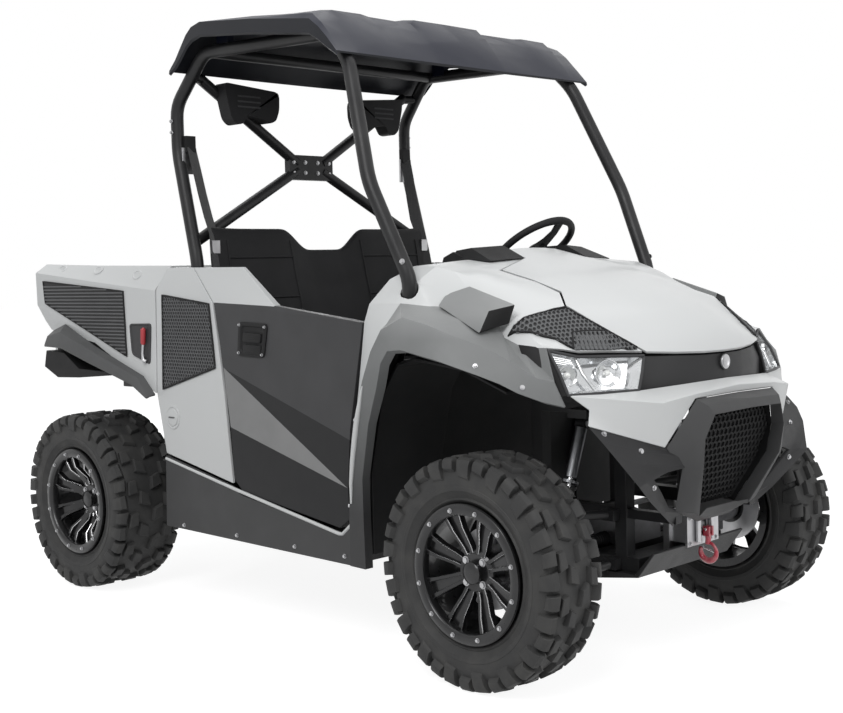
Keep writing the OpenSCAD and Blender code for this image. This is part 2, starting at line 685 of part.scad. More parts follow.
module headlights() {
    rows = [
        [[296, 291, 880], [195, 448, 884], [158, side - 72, 904]],
        [[301, 308, 836], [232, 450, 838], [198, side - 66, 850]],
        [[302, 325, 790], [263, 450, 790], [228, side - 66, 790]]];
    color([0.85, 0.87, 0.88]) both_sides()
        grid_skin(ahead(rows), [-40, 0, 0]);
}

module nose_garnish() {
    half = [
        [[359, 0, 870], [352, 100, 871], [328, 200, 875], [291, 280, 877]],
        [[362, 0, 838], [356, 100, 838], [334, 200, 838], [299, 296, 838]],
        [[366, 0, 790], [358, 100, 789], [336, 200, 786], [290, 312, 780]]];
    color(dark) {
        grid_skin([for (row = ahead(half)) whole_row(row)], [-14, 0, 0]);
        translate([fa + 352, 0, 847]) rotate([0, 90, 0]) cylinder(h = 14, r = 23);
    }
}

module nose_panel() {
    half = [
        [[372, 0, 803], [347, 200, 797], [303, 326, 789.4], [233, side - 64, 789.4]],
        [[410, 0, 785], [402, 200, 775], [380, 325, 760], [264, side - 108, 749]],
        [[405, 0, 765.5], [399, 201, 762], [366, 300, 637], [270, side - 94, 708]]];
    color(light) body_skin([for (row = ahead(half)) whole_row(row)], t = 8);
}

module front_bumper() {
    g = front_overhang;
    right = [
        [[405, 0, 764], [438, 0, 748], [g, 0, 722], [410, 0, 716]],
        [[399, 200, 760], [428, 185, 742], [g - 8, 172, 718], [405, 172, 712]],
        [[366, 296, 634], [415, 235, 650], [g - 18, 205, 655], [390, 205, 655]],
        [[380, 244, 572], [415, 215, 572], [420, 198, 573], [375, 198, 573]],
        [[332, 210, 448], [360, 160, 440], [355, 125, 425], [310, 125, 430]],
        [[318, 80, 400], [340, 80, 415], [345, 70, 440], [300, 70, 445]]];
    left = [for (i = [len(right) - 1 : -1 : 1]) [for (p = right[i]) [p.x, -p.y, p.z]]];
    color(dark) ring(ahead(concat(right, left)));
}

// Wings from the bumper bar back to the arches, each around a three-cornered hole
module bumper_wings() {
    wing = [
        [[270, 505, 706], [318, 400, 672], [385, 255, 642]],
        [[309, 502, 670], [345, 400, 640], [388, 238, 606]],
        [[338, 486, 630], [362, 390, 602], [390, 224, 578]],
        [[358, 462, 590], [366, 392, 578], [374, 300, 572]],
        [[378, 437, 550], [374, 400, 556], [366, 352, 558]],
        [[360, 365, 500], [358, 338, 508], [352, 300, 516]],
        [[343, 284, 450], [340, 268, 458], [336, 246, 468]],
        [[322, 205, 405], [326, 196, 420], [334, 175, 440]]];
    color(dark) both_sides() body_skin(ahead(wing), t = 12);
}

module bumper_mesh() {
    half = [[[387.4, 0, 724], [381.4, 176, 722]], [[375.4, 0, 650], [372.9, 214, 650]],
        [[346.4, 0, 560], [341.4, 200, 560]], [[297.4, 0, 440], [293.4, 128, 436]]];
    color(black) grid_skin([for (row = ahead(half)) whole_row(row)], [-8, 0, 0]);
}

module cowl_dash() {
    // Dash fascia with its cowl, low at both ends and high in the middle, bracketed to the cage
    color(black) difference() {
        union() {
            translate([0, side - 100, 0]) rotate([90, 0, 0]) linear_extrude(2 * (side - 100))
                polygon([[fa - 350, 1050], [fa - 350, 1084], [fa - 400, 1096], [fa - 455, 1092],
                    [fa - 480, 1070], [fa - 470, 1000], [fa - 430, 940], [fa - 410, 872],
                    [fa - 395, 872], [fa - 395, 1000]]);
            translate([0, 290, 0]) rotate([90, 0, 0]) linear_extrude(580)
                polygon([[fa - 345, 1070], [fa - 336, 1148], [fa - 400, 1176], [fa - 440, 1160],
                    [fa - 470, 1080]]);
            both_sides() pod();
            both_sides() box([fa - 420, side - 105, 955], [fa - 330, side - 30, 980]);
        }
        both_sides() tube(cage_side_path, cage_r + seat);
        rod(wheel_hub, column_foot, 18 + seat);
    }
}

// Raised pod at each end of the dash, on top of the fender
module pod() {
    r = hood_rear + panel_gap;
    low = ahead([[[-400, r, 1150], [-328, r, 1162], [-240, r, 1152], [-252, 296, 1144],
        [-335, 296, 1154], [-400, 296, 1140]]])[0];
    high = ahead([[[-400, r, 1190], [-316, r, 1193], [-232, r, 1153], [-244, 292, 1146], [-343, 270, 1187],
        [-400, 275, 1180]]])[0];
    faces = concat([[0, 1, 4, 5], [1, 2, 3, 4], [11, 10, 7, 6], [10, 9, 8, 7]],
        [for (i = [0 : 5]) [(i + 1) % 6, i, i + 6, (i + 1) % 6 + 6]]);
    polyhedron(concat(low, high), outward(concat(low, high), fans(faces)));
}

// ---- Sides ----

module side_sills() {
    outline = [[seam + 44, frame_clearance], [seam + 52, 506], [door_front - 567, 435],
        [door_front - 515, 410], [door_front - 48, 345], [door_front - 33, 344], [door_front + 11, 380],
        [door_front + 13, 250]];
    color(dark) both_sides() {
        side_plate(outline, side, side + 12);
        // Inner flange that carries the sill on the frame
        box([seam + 50, side_rail + rail_size / 2 + seat, frame_clearance + 4],
            [door_front + 5, side + 1, frame_clearance + 14]);
    }
}

module rear_quarters() {
    d = door_front;
    rows = [
        [[seam + 59, side - 17, 1152], [seam + 130, side - 16, 1151], [d - 777, side - 15, 1150]],
        [[seam + 6, side - 2, 1075], [seam + 160, side - 1, 1053], [d - 656, side, 1031]],
        [[seam + 4, side, 903], [seam + 180, side + 1, 890], [d - 630, side + 2, 890]],
        [[seam + 2, side + 4, 717], [seam + 190, side + 6, 730], [d - 600, side + 6, 740]],
        [[seam + 52, side + 7, 514], [seam + 240, side + 7, 478], [d - 566, side + 7, 443]]];
    color(light) both_sides() grid_skin(rows, [0, -panel_t - 1.2, 0]);
}

// Door: rear edge, folds and front edge as points, on the left side
module door() {
    d = door_front;
    points = [[d - 770, side - 13, 1150], [d - 505, side - 13, 1147], [d - 335, side, 1023],
        [d - 648, side, 1031], [d + 80, side + 12, 975], [d - 600, side + 6, 820],
        [d + 22, side + 20, 658], [d - 4, side + 10, 484], [d - 558, side + 16, 629],
        [d - 554, side + 8, 457], [d - 514, side + 7, 422], [d - 48, side + 7, 357],
        [d - 2, side + 8, 389]];
    faces = [[0, 1, 2, 3], [3, 2, 4, 6, 5], [5, 6, 7], [5, 7, 8], [8, 7, 12, 11, 10, 9]];
    skin(points, faces, [for (p = points) [p.x, side + 5 - door_t, p.z]]);
}

module door_left() { color(dark) door(); }
module door_right() { color(dark) mirror([0, 1, 0]) door(); }

// ---- Seats ----

module seat_cushions() {
    color(dark) both_sides()
        translate([0, side - 70, 0]) rotate([90, 0, 0]) linear_extrude(side - 70 - 65)
            polygon([[seam + 250, 610.4], [seam + 730, 610.4], [seam + 748, 640], [seam + 735, 700],
                [seam + 690, 715], [seam + 400, 692], [seam + 300, 690], [seam + 250, 680]]);
}

module seat_backs() {
    profile = [[seam + 235, 700], [seam + 355, 712], [seam + 250, 1120], [seam + 225, 1290],
        [seam + 212, 1306], [seam + 190, 1300], [seam + 184, 1240]];
    centre = [[seam + 235, 700], [seam + 320, 712], [seam + 240, 1120], [seam + 215, 1225],
        [seam + 205, 1240], [seam + 192, 1234], [seam + 188, 1180]];
    out = side - 90;
    color(dark) {
        both_sides() intersection() {
            translate([0, out, 0]) rotate([90, 0, 0]) linear_extrude(out - 120) polygon(profile);
            rotate([90, 0, 90]) translate([0, 0, seam]) linear_extrude(400)
                polygon([[120, 600], [120, 1236], [190, 1312], [out, 1312], [out, 600]]);
        }
        translate([0, 119.6, 0]) rotate([90, 0, 0]) linear_extrude(239.2) polygon(centre);
    }
}

module headrests() {
    outline = [[200, 1764], [426, 1782], [424, 1745], [402, 1660], [378, 1640], [350, 1645],
        [330, 1678], [275, 1668], [235, 1650], [205, 1662], [190, 1700], [188, 1750]];
    color(dark) both_sides() difference() {
        translate([seam + 150, 0, 0]) rotate([90, 0, 90]) linear_extrude(58) polygon(outline);
        rod(brace_top[0], brace_top[1], brace_r + seat);
    }
}

// ---- Roof and cage ----

roof_top = overall_height;
a_top = [fa - 577, side - 65, roof_top - 214];
b_top = [seam + 235, side - 69, roof_top - 97];
brace_r = 19;
brace_x = seam + 140;
brace_top = [[brace_x, 60, 1524], [brace_x + 8, side - 110, 1796]];
brace_foot = [[brace_x, 60, 1496], [seam + 165, side - 49, 1230]];

// Path of each side frame, from its front foot over the roof to its rear foot
cage_side_path = rounded([[door_front + 15, side_rail, rail_top + 2.2], [door_front + 45, side_rail, 640],
    [fa - 350, side_rail + 20, 940], [fa - 292, side - 19, 1090], [fa - 424, side + 11, 1384], a_top,
    [fa - 670, side - 85, roof_top - 113], b_top, [seam + 92, side - 53, roof_top - 263],
    [seam + 92, side - 53, roof_top - 421], [seam + 190, side - 48, 1165],
    [seam + 180, side_rail, rail_top + 20.8]], 40);

module roll_cage() {
    color(black) union() {
        both_sides() tube(cage_side_path, cage_r);
        for (p = [[fa - 690, roof_top - 112], [seam + 258, roof_top - 97]])
            rod([p[0], -side + 85, p[1]], [p[0], side - 85, p[1]], cage_r - 3);
    }
}

module rear_x_brace() {
    color(black) both_sides() difference() {
        union() {
            box([brace_x - 14, 0, 1462], [brace_x + 14, 104, 1552]);
            rod(brace_foot[0], brace_foot[1], brace_r);
            rod(brace_top[0], brace_top[1], brace_r);
            // Link from the brace's upper end to the bend of the side tube
            rod(brace_top[1] - [2, 12, 7], [seam + 176, side - 64, 1793], 15);
        }
        tube(cage_side_path, cage_r + seat);
    }
}

module roof() {
    z = roof_top;
    w = side;
    // Half section: middle plateau, valley, outer plateau, shoulder and side band.
    // k scales the relief, band is the height of the side band.
    function section(x, drop, k, band) =
        let (t = z - drop)
        [[x, 0, t], [x, 150, t - k], [x, 166, t - 14 * k], [x, 350, t - 13 * k], [x, 385, t - 8 * k],
            [x, w - 95, t - 9 * k], [x, w - 80, t - 20 * k], [x, w - 15, t - 28 * k], [x, w, t - 45 * k],
            [x, w + 2, t - 45 * k - band]];
    rows = [section(seam + 130, 150, 0, 12), section(seam + 165, 114, 0.1, 24),
        section(seam + 195, 78, 0.1, 34), section(seam + 228, 37, 0.15, 40), section(seam + 258, 13, 0.2, 43),
        section(seam + 305, 0, 0.25, 43), section(fa - 960, 12, 0.6, 43), section(fa - 730, 26, 1, 43),
        section(fa - 680, 33, 1, 43), section(fa - 640, 70, 0.8, 38), section(fa - 600, 124, 0.45, 28),
        section(fa - 560, 188, 0, 10)];
    points = flat([for (row = rows) whole_row(row)]);
    inner = [for (p = points) p + 9 * unit([clamp(p.x, seam + 350, fa - 780) - p.x, -p.y, z - 640 - p.z])];
    color(roof_paint) union() {
        skin(points, grid_faces(len(rows), 19), inner);
        // Saddles that seat the roof on the cage's roof rails
        both_sides() difference() {
            for (p = [[seam + 330, 14], [fa - 780, 46]])
                box([p[0] - 30, side - 98, z - 100], [p[0] + 30, side - 72, z - p[1]]);
            tube(cage_side_path, cage_r + seat);
        }
    }
}

// ---- Winch and hitch ----

module winch() {
    x = front_bay_end + rail_size;
    color(black) {
        box([x + seat, -90, rail_top - 12], [x + 20, 90, 420]);
        translate([x + 42, 0, 372]) rotate([90, 0, 0]) translate([0, 0, -70]) cylinder(h = 140, r = 24);
        for (s = [-1, 1]) box([x + 15, s * 72 - 8, 335], [x + 68, s * 72 + 8, 410]);
    }
    color(steel) {
        for (s = [-1, 1]) translate([x + 82, s * 34, 332]) cylinder(h = 70, r = 8);
        difference() {
            box([x + 68 + seat, -80, 322], [x + 75, 80, 412]);
            box([x + 60, -26, 345], [x + 80, 26, 390]);
        }
    }
}

module winch_hook() {
    x = front_bay_end + rail_size + 92;
    color([0.75, 0.1, 0.15]) {
        rotate([90, 0, 0]) translate([0, 0, -10]) linear_extrude(20)
            difference() {
                translate([x, 300]) circle(r = 34);
                translate([x, 300]) circle(r = 20);
                translate([x - 40, 306]) square([30, 26]);
            }
        box([x - 8, -12, 330], [x + 8, 12, 372]);
        // Rope end, resting in the fairlead's slot
        box([x - 24, -6, 345 + seat], [x, 6, 358]);
    }
}

module hitch_receiver() {
    outer = receiver_inner + 2 * receiver_wall;
    x = rear_bay - 20;
    z = frame_clearance + rail_size / 2;
    color(black) difference() {
        union() {
            box([x - receiver_length, -outer / 2, z - outer / 2], [x - seat - 10, outer / 2, z + outer / 2]);
            box([x - seat - 10, -rail_offset - 20, z - outer / 2],
                [x - seat, rail_offset + 20, z + outer / 2]);
        }
        box([x - receiver_length - 1, -receiver_inner / 2, z - receiver_inner / 2],
            [x - 10 - seat, receiver_inner / 2, z + receiver_inner / 2]);
        translate([x + 50 - receiver_length, 0, z]) rotate([90, 0, 0]) translate([0, 0, -outer])
            cylinder(h = 2 * outer, r = pin_hole_r);
    }
}

// ---- Cargo bed ----

bed_half = bed_inner_width / 2;
hinge_x = bed_back + 85;   // bed hinge, over the frame's rear cross rail

module bed_tub() {
    f = bed_floor_height;
    color(black) union() {
        box([bed_back + 26, -bed_half - bed_wall, f - bed_wall], [seam - 8, bed_half + bed_wall, f]);
        for (s = [-1, 1]) {
            box([bed_back + 26, s * (bed_half + bed_wall / 2) - bed_wall / 2, f - 5],
                [seam - 8, s * (bed_half + bed_wall / 2) + bed_wall / 2, 1150]);
            // Long channels from the hinge forwards, resting on the frame's bed rails
            box([hinge_x, s * bed_rail_y - 16, bed_rail_top + seat],
                [seam - 20, s * bed_rail_y + 16, f - 5]);
        }
        box([seam - 8 - bed_wall, -bed_half - bed_wall, f - 5], [seam - 8, bed_half + bed_wall, 1150]);
    }
}

module bed_side_panels() {
    b = bed_back;
    s = seam;
    rows = [
        [[b + 6, bed_half + 16, 1170], [mid(b, s), bed_half + 16, 1160], [s + 50, bed_half + 16, 1154]],
        [[b + 5, side - 38, 1179], [mid(b, s), side - 38, 1168], [s + 50, side - 40, 1160]],
        [[b + 5, side + 11, 1146], [mid(b, s), side + 4, 1110], [s - 2, side - 3, 1075]],
        [[b + 5, side + 8, 1023], [mid(b, s), side + 4, 990], [s - 4, side - 2, 903]],
        [[b + 22, side - 15, 962], [mid(b, s), side + 2, 905], [s - 4, side, 800]],
        [[b + 50, side - 25, 925], [mid(b, s), side, 884], [s - 4, side + 4, 717]]];
    inner = [for (i = [0 : 5]) for (p = rows[i]) p + (i < 2 ? [0, -5.6, -8] : [0, -8, 1])];
    color(light) both_sides() skin(flat(rows), grid_faces(6, 3), inner);
}

module bed_flares() {
    b = bed_back;
    s = seam;
    rows = [
        [[b + 75, side - 16.8, 925], [b + 90, side + 20, 905], [b + 100, side + 40, 872]],
        [[b + 195, side + 2.2, 952], [b + 220, side + 40, 925], [b + 240, side + 54, 870]],
        [[mid(b, s), side + 2.2, 876], [b + 425, side + 40, 858], [b + 430, side + 54, 820]],
        [[s - 75, side + 4.2, 776], [s - 80, side + 30, 772], [s - 90, side + 48, 752]],
        [[s - 6, side + 5.2, 716], [s - 6, side + 26, 713], [s - 6, side + 44, 706]]];
    color(grey) both_sides() grid_skin(rows, [0, 0, -7]);
}

// Black guards under the bed flares, ahead of the tailgate and over the rear tyres
module bed_guards() {
    b = bed_back;
    outline = [[b + 104, 852], [b + 88, 790], [b + 180, 752], [b + 330, 757], [b + 560, 774], [b + 560, 784],
        [b + 330, 790], [b + 230, 846]];
    color(black) both_sides() side_plate(outline, bed_half + bed_wall + seat, side + 34);
}

module tail_lamps() {
    color([0.5, 0.05, 0.06]) both_sides()
        box([bed_back + 1, side - 20, 1026], [bed_back + 4.7, side + 6, 1128]);
}

module tailgate() {
    b = bed_back;
    f = bed_floor_height;
    color(light) union() {
        box([b, -bed_half - 4, f + 2], [b + 20, bed_half + 4, 1150]);
        box([b + 2, -bed_half + 60, 1140], [b + 18, bed_half - 60, 1164]);
    }
}

frame();
skid_plate();
cab_floor();
seat_base();
cab_back_panel();
engine_block();
muffler();
axle_gearcases();
drive_shafts();
suspension_arms();
shock_absorbers();
rear_knuckles();
front_bumper();
bumper_wings();
bumper_mesh();
nose_panel();
nose_garnish();
headlights();
front_fenders();
front_flares();
flare_scoops();
arch_liners();
cowl_dash();
side_sills();
rear_quarters();
seat_cushions();
seat_backs();
headrests();
roof();
roll_cage();
rear_x_brace();
winch();
winch_hook();
hitch_receiver();
steering_column();
hood();
bed_tub();
bed_side_panels();
bed_flares();
bed_guards();
tail_lamps();
tailgate();
door_right();
door_left();
tyre_front_right();
tyre_front_left();
tyre_rear_right();
tyre_rear_left();
rim_front_right();
rim_front_left();
rim_rear_right();
rim_rear_left();
knuckle_front_right();
knuckle_front_left();
steering_wheel();
steering_rack();
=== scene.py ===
"""Looks of the two-seat side-by-side utility vehicle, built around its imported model."""
import math

import bmesh
import bpy
from mathutils import Matrix, Vector
from mathutils.bvhtree import BVHTree


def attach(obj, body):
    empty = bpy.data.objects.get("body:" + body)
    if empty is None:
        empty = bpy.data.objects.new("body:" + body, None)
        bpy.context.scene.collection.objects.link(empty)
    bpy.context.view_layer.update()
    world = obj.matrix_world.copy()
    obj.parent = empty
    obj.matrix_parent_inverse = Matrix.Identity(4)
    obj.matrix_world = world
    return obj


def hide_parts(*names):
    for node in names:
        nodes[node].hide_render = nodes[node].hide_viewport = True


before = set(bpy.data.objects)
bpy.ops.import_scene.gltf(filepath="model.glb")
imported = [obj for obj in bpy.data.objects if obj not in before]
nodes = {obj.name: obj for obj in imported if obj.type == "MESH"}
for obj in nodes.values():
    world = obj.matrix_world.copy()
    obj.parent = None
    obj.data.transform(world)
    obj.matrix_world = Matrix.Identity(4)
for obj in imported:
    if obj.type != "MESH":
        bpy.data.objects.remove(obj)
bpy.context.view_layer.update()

# ---- Places of the running gear and the cab, in metres ----

FRONT_AXLE = 0.930
REAR_AXLE = -0.986
TYRE_R = 0.316
RIM_R = 0.178
HUB_FACE = 0.034
SHAFT_Z = TYRE_R + 0.014      # height of the shaft between the axles
SIDE = 0.600                  # flat side of the cab
SEAM = -0.600                 # rear edge of the cab's side panels
BRACE_FRONT = SEAM + 0.154    # front face of the brace behind the seats
SIDES = (("right", -1), ("left", 1))
WHEELS = {                    # place along and across, and the tyre's width
    "front_right": (FRONT_AXLE, -0.606, 0.208), "front_left": (FRONT_AXLE, 0.606, 0.208),
    "rear_right": (REAR_AXLE, -0.588, 0.262), "rear_left": (REAR_AXLE, 0.588, 0.262)}


# ---- Finishes ----

class Wire:
    """A socket of a finish, so that shader maths reads as plain sums."""

    def __init__(self, finish, socket):
        self.finish = finish
        self.socket = socket

    def combine(self, operation, other):
        return self.finish.node("ShaderNodeMath", {"operation": operation}, {0: self, 1: other})

    def __add__(self, other):
        return self.combine("ADD", other)

    def __sub__(self, other):
        return self.combine("SUBTRACT", other)

    def __mul__(self, other):
        return self.combine("MULTIPLY", other)

    def __lt__(self, other):
        return self.combine("LESS_THAN", other)


class Finish:
    """A material with its Principled shader; constants are set on the shader's own sockets."""

    def __init__(self, name, colour, roughness, **constants):
        self.material = bpy.data.materials.new(name)
        self.material.use_nodes = True
        self.tree = self.material.node_tree
        self.shader = self.tree.nodes["Principled BSDF"]
        self.colour = (*colour, 1.0)
        self.roughness = roughness
        self.shader.inputs["Base Color"].default_value = self.colour
        self.shader.inputs["Roughness"].default_value = roughness
        for socket, value in constants.items():
            self.shader.inputs[socket.replace("_", " ")].default_value = value

    def plug(self, value, socket):
        if isinstance(value, Wire):
            self.tree.links.new(value.socket, socket)
        else:
            socket.default_value = value

    def node(self, kind, settings=(), sockets=(), output=0):
        made = self.tree.nodes.new(kind)
        for name, value in dict(settings).items():
            if name == "stops":
                ramp = made.color_ramp.elements
                while len(ramp) < len(value):
                    ramp.new(0.5)
                for element, (place, shade) in zip(ramp, value):
                    element.position = place
                    element.color = (shade, shade, shade, 1.0)
            else:
                setattr(made, name, value)
        for name, value in dict(sockets).items():
            self.plug(value, made.inputs[name])
        return Wire(self, made.outputs[output])

    def place(self):
        return self.node("ShaderNodeTexCoord", output="Object")

    def noise(self, scale, detail=3.0, stretch=None):
        where = self.place()
        if stretch:
            where = self.node("ShaderNodeVectorMath", {"operation": "MULTIPLY"}, {0: where, 1: stretch})
        return self.node("ShaderNodeTexNoise", {}, {"Vector": where, "Scale": scale, "Detail": detail})

    def cells(self, scale, feature="F1", output="Distance"):
        return self.node("ShaderNodeTexVoronoi", {"feature": feature},
                         {"Vector": self.place(), "Scale": scale}, output)

    def steps(self, value, *stops):
        return self.node("ShaderNodeValToRGB", {"stops": stops}, {"Fac": value})

    def height(self, axis):
        """Place along one axis of the vehicle."""
        return self.node("ShaderNodeSeparateXYZ", {}, {0: self.place()}, "XYZ".index(axis))

    def tint(self, amount, colour):
        """Blends the finish's colour towards another one by a varying amount."""
        base = getattr(self, "tinted", self.colour)
        self.tinted = self.node("ShaderNodeMix", {"data_type": "RGBA"},
                                {0: amount, 6: base, 7: (*colour, 1.0)}, 2)
        self.plug(self.tinted, self.shader.inputs["Base Color"])
        return self

    def shine(self, change):
        """Adds a varying change to the roughness."""
        self.plug(change + self.roughness, self.shader.inputs["Roughness"])
        return self

    def relief(self, height, strength, distance=0.001):
        bump = self.node("ShaderNodeBump", {}, {"Height": height, "Strength": strength, "Distance": distance})
        self.plug(bump, self.shader.inputs["Normal"])
        return self


def worn(finish, light, scale=9.0, amount=0.35):
    """Cloudy wear and dust over a finish, with an uneven shine."""
    cloud = finish.steps(finish.noise(scale, 6.0), (0.42, 0.0), (0.75, 1.0))
    finish.tint(cloud * amount, light)
    return finish.shine(finish.noise(scale * 3.0) * 0.16 - 0.08)


def paint(name, colour, specular=0.30, coat=0.12):
    """Glossy moulded-in body colour with a faint ripple in its gloss and dust towards the ground."""
    made = Finish(name, colour, 0.34, Specular_IOR_Level=specular, Coat_Weight=coat, Coat_Roughness=0.08)
    made.tint(made.noise(2.2, 4.0) * 0.10, tuple(0.86 * c for c in colour))
    low = made.node("ShaderNodeMapRange", {}, {0: made.height("Z"), 1: 0.95, 2: 0.35, 3: 0.0, 4: 1.0})
    made.tint(low * made.noise(14.0, 6.0) * 0.14, (0.42, 0.40, 0.37))
    made.shine(made.noise(30.0) * 0.08 - 0.04)
    return made.relief(made.noise(420.0, 1.0), 0.05, 0.0004)


def moulded(name, colour, roughness=0.55, grain=900.0, strength=0.22, **constants):
    """Grained moulded plastic with cloudy fading."""
    made = Finish(name, colour, roughness, Specular_IOR_Level=0.20, **constants)
    worn(made, tuple(min(1.0, c * 1.45 + 0.006) for c in colour), 7.0, 0.30)
    return made.relief(made.cells(grain), strength, 0.0006)


def metal(name, colour, roughness, stretch=None):
    """Bare metal with stains and a brushed or cast grain."""
    made = Finish(name, colour, roughness, Metallic=1.0)
    stains = made.steps(made.noise(26.0, 6.0), (0.45, 0.0), (0.7, 1.0))
    made.tint(stains * 0.35, tuple(0.6 * c for c in colour))
    made.shine(made.noise(70.0, 4.0, stretch) * 0.2 - 0.1)
    return made.relief(made.noise(240.0, 3.0, stretch), 0.08, 0.0004)


body_light = paint("pale grey body colour", (0.62, 0.63, 0.63))
roof_blue = paint("roof navy gloss", (0.006, 0.008, 0.020), 0.22, 0.10)
roof_edge = moulded("roof edge grey", (0.016, 0.017, 0.021), 0.34)
flare_grey = moulded("flare grey", (0.20, 0.205, 0.205), 0.50)
flare_height = flare_grey.height("Z")
# Painted light by height: painted shade darkens the flares low down and a painted highlight lightens their
# tops.
flare_grey.tint(flare_grey.steps(flare_height, (0.42, 1.0), (0.86, 0.0)), (0.045, 0.045, 0.046))
flare_grey.tint(flare_grey.steps(flare_height, (0.94, 0.0), (1.02, 1.0)) * 0.6, (0.34, 0.345, 0.345))
bed_grey = moulded("bed flare grey", (0.090, 0.091, 0.092), 0.50)
# Lighter grey for the door's folded facet: a painted highlight of the sky on the facet that faces up.
facet_highlight_grey = moulded("door facet painted highlight", (0.23, 0.23, 0.23), 0.45)
panel_dark = moulded("panel dark grey", (0.050, 0.050, 0.052), 0.48)
wing_dark = moulded("wing dark grey", (0.024, 0.024, 0.025), 0.46)
sill_dark = moulded("sill dark grey", (0.062, 0.062, 0.063), 0.52)
door_dark = moulded("door dark grey", (0.052, 0.052, 0.054), 0.46)
# Painted shade: the door's lower facets are tinted nearly black where they face away from the light.
painted_shade_low_facets = (door_dark.height("Z") + door_dark.height("X") * 0.31) < 0.753
door_dark.tint(painted_shade_low_facets * 0.92, (0.012, 0.012, 0.013))
plastic_black = moulded("black plastic", (0.012, 0.012, 0.0125), 0.60)
insert_black = moulded("mesh backing", (0.022, 0.022, 0.023), 0.50, 700.0)
insert_grey = moulded("mesh insert grey", (0.120, 0.122, 0.125), 0.40, 700.0)
powder_black = worn(Finish("black powder coat", (0.012, 0.012, 0.013), 0.40, Specular_IOR_Level=0.30),
                    (0.05, 0.05, 0.05))
powder_black.relief(powder_black.noise(900.0, 2.0), 0.15, 0.0005)
rubber = worn(Finish("tyre rubber", (0.034, 0.034, 0.034), 0.66, Specular_IOR_Level=0.35),
              (0.075, 0.073, 0.069), 16.0, 0.45)
rubber.relief(rubber.noise(520.0, 3.0), 0.25, 0.0006)
grip_rubber = moulded("wheel grip rubber", (0.014, 0.014, 0.015), 0.62, 600.0, 0.35)
vinyl = Finish("seat vinyl", (0.010, 0.010, 0.011), 0.58, Specular_IOR_Level=0.18, Sheen_Weight=0.04)
worn(vinyl, (0.022, 0.022, 0.023), 5.0, 0.35).relief(vinyl.cells(520.0), 0.30, 0.0007)
webbing = Finish("belt webbing", (0.020, 0.020, 0.021), 0.80, Sheen_Weight=0.3)
weave = webbing.node("ShaderNodeTexWave", {"wave_type": "BANDS", "bands_direction": "Z"},
                     {"Vector": webbing.place(), "Scale": 190.0, "Distortion": 0.4})
webbing.tint(weave * 0.5, (0.045, 0.045, 0.047)).relief(weave, 0.5, 0.0008)
steel = metal("bare steel", (0.46, 0.46, 0.47), 0.36)
bright = metal("machined alloy", (0.72, 0.72, 0.73), 0.22, (1.0, 1.0, 8.0))
cast = metal("cast alloy", (0.26, 0.26, 0.27), 0.52)
rim_black = worn(Finish("satin black alloy", (0.018, 0.018, 0.019), 0.30, Metallic=0.6, Coat_Weight=0.3),
                 (0.05, 0.05, 0.05), 20.0, 0.25)
rim_black.relief(rim_black.noise(600.0), 0.06, 0.0004)
shock_grey = metal("shock body grey", (0.22, 0.225, 0.235), 0.34)
spring_black = worn(Finish("spring black", (0.020, 0.020, 0.021), 0.35, Coat_Weight=0.4), (0.06, 0.06, 0.06))
# The pale cloudy patches on the red hook are partly wear and partly a painted highlight.
hook_red = worn(Finish("hook red", (0.42, 0.020, 0.045), 0.35, Coat_Weight=0.4), (0.62, 0.42, 0.42), 34.0, 0.55)
lever_red = worn(Finish("lever grip red", (0.45, 0.035, 0.045), 0.40), (0.5, 0.2, 0.2), 20.0, 0.25)
rope_grey = Finish("winch rope", (0.30, 0.30, 0.31), 0.75)
strand = rope_grey.node("ShaderNodeTexWave", {"bands_direction": "DIAGONAL"},
                        {"Vector": rope_grey.place(), "Scale": 220.0})
rope_grey.tint(strand * 0.6, (0.12, 0.12, 0.13)).relief(strand, 0.6, 0.001)
lens = Finish("lamp lens", (0.95, 0.97, 0.98), 0.04, Alpha=0.16, Coat_Weight=1.0, IOR=1.45)
lens.tint(lens.noise(3.0) * 0.2, (0.85, 0.88, 0.90)).relief(lens.noise(12.0), 0.03, 0.001)
chrome = metal("lamp reflector", (0.60, 0.61, 0.62), 0.12)
bulb = Finish("lamp bulb", (0.92, 0.92, 0.88), 0.15, Coat_Weight=1.0)
bulb.tint(bulb.noise(60.0) * 0.4, (0.75, 0.76, 0.74))
lamp_red = Finish("tail lamp red", (0.36, 0.012, 0.018), 0.10, Coat_Weight=1.0)
lamp_red.tint(lamp_red.cells(260.0) * 0.6, (0.18, 0.004, 0.008)).relief(lamp_red.cells(260.0), 0.4, 0.001)
screen = Finish("dial glass", (0.012, 0.015, 0.018), 0.08, Coat_Weight=1.0)
screen.tint(screen.noise(40.0) * 0.5, (0.03, 0.04, 0.05))


# ---- Building helpers ----

def circle(count, offset=0.0):
    """Evenly spaced angles round a circle; the offset is a share of one space."""
    return [2 * math.pi * (k + offset) / count for k in range(count)]


def swung(place, angle, r, side, h):
    """Point of a spoke that lies at an angle: r outwards along it, side across it and h high."""
    return place(r * math.cos(angle) - side * math.sin(angle), r * math.sin(angle) + side * math.cos(angle), h)


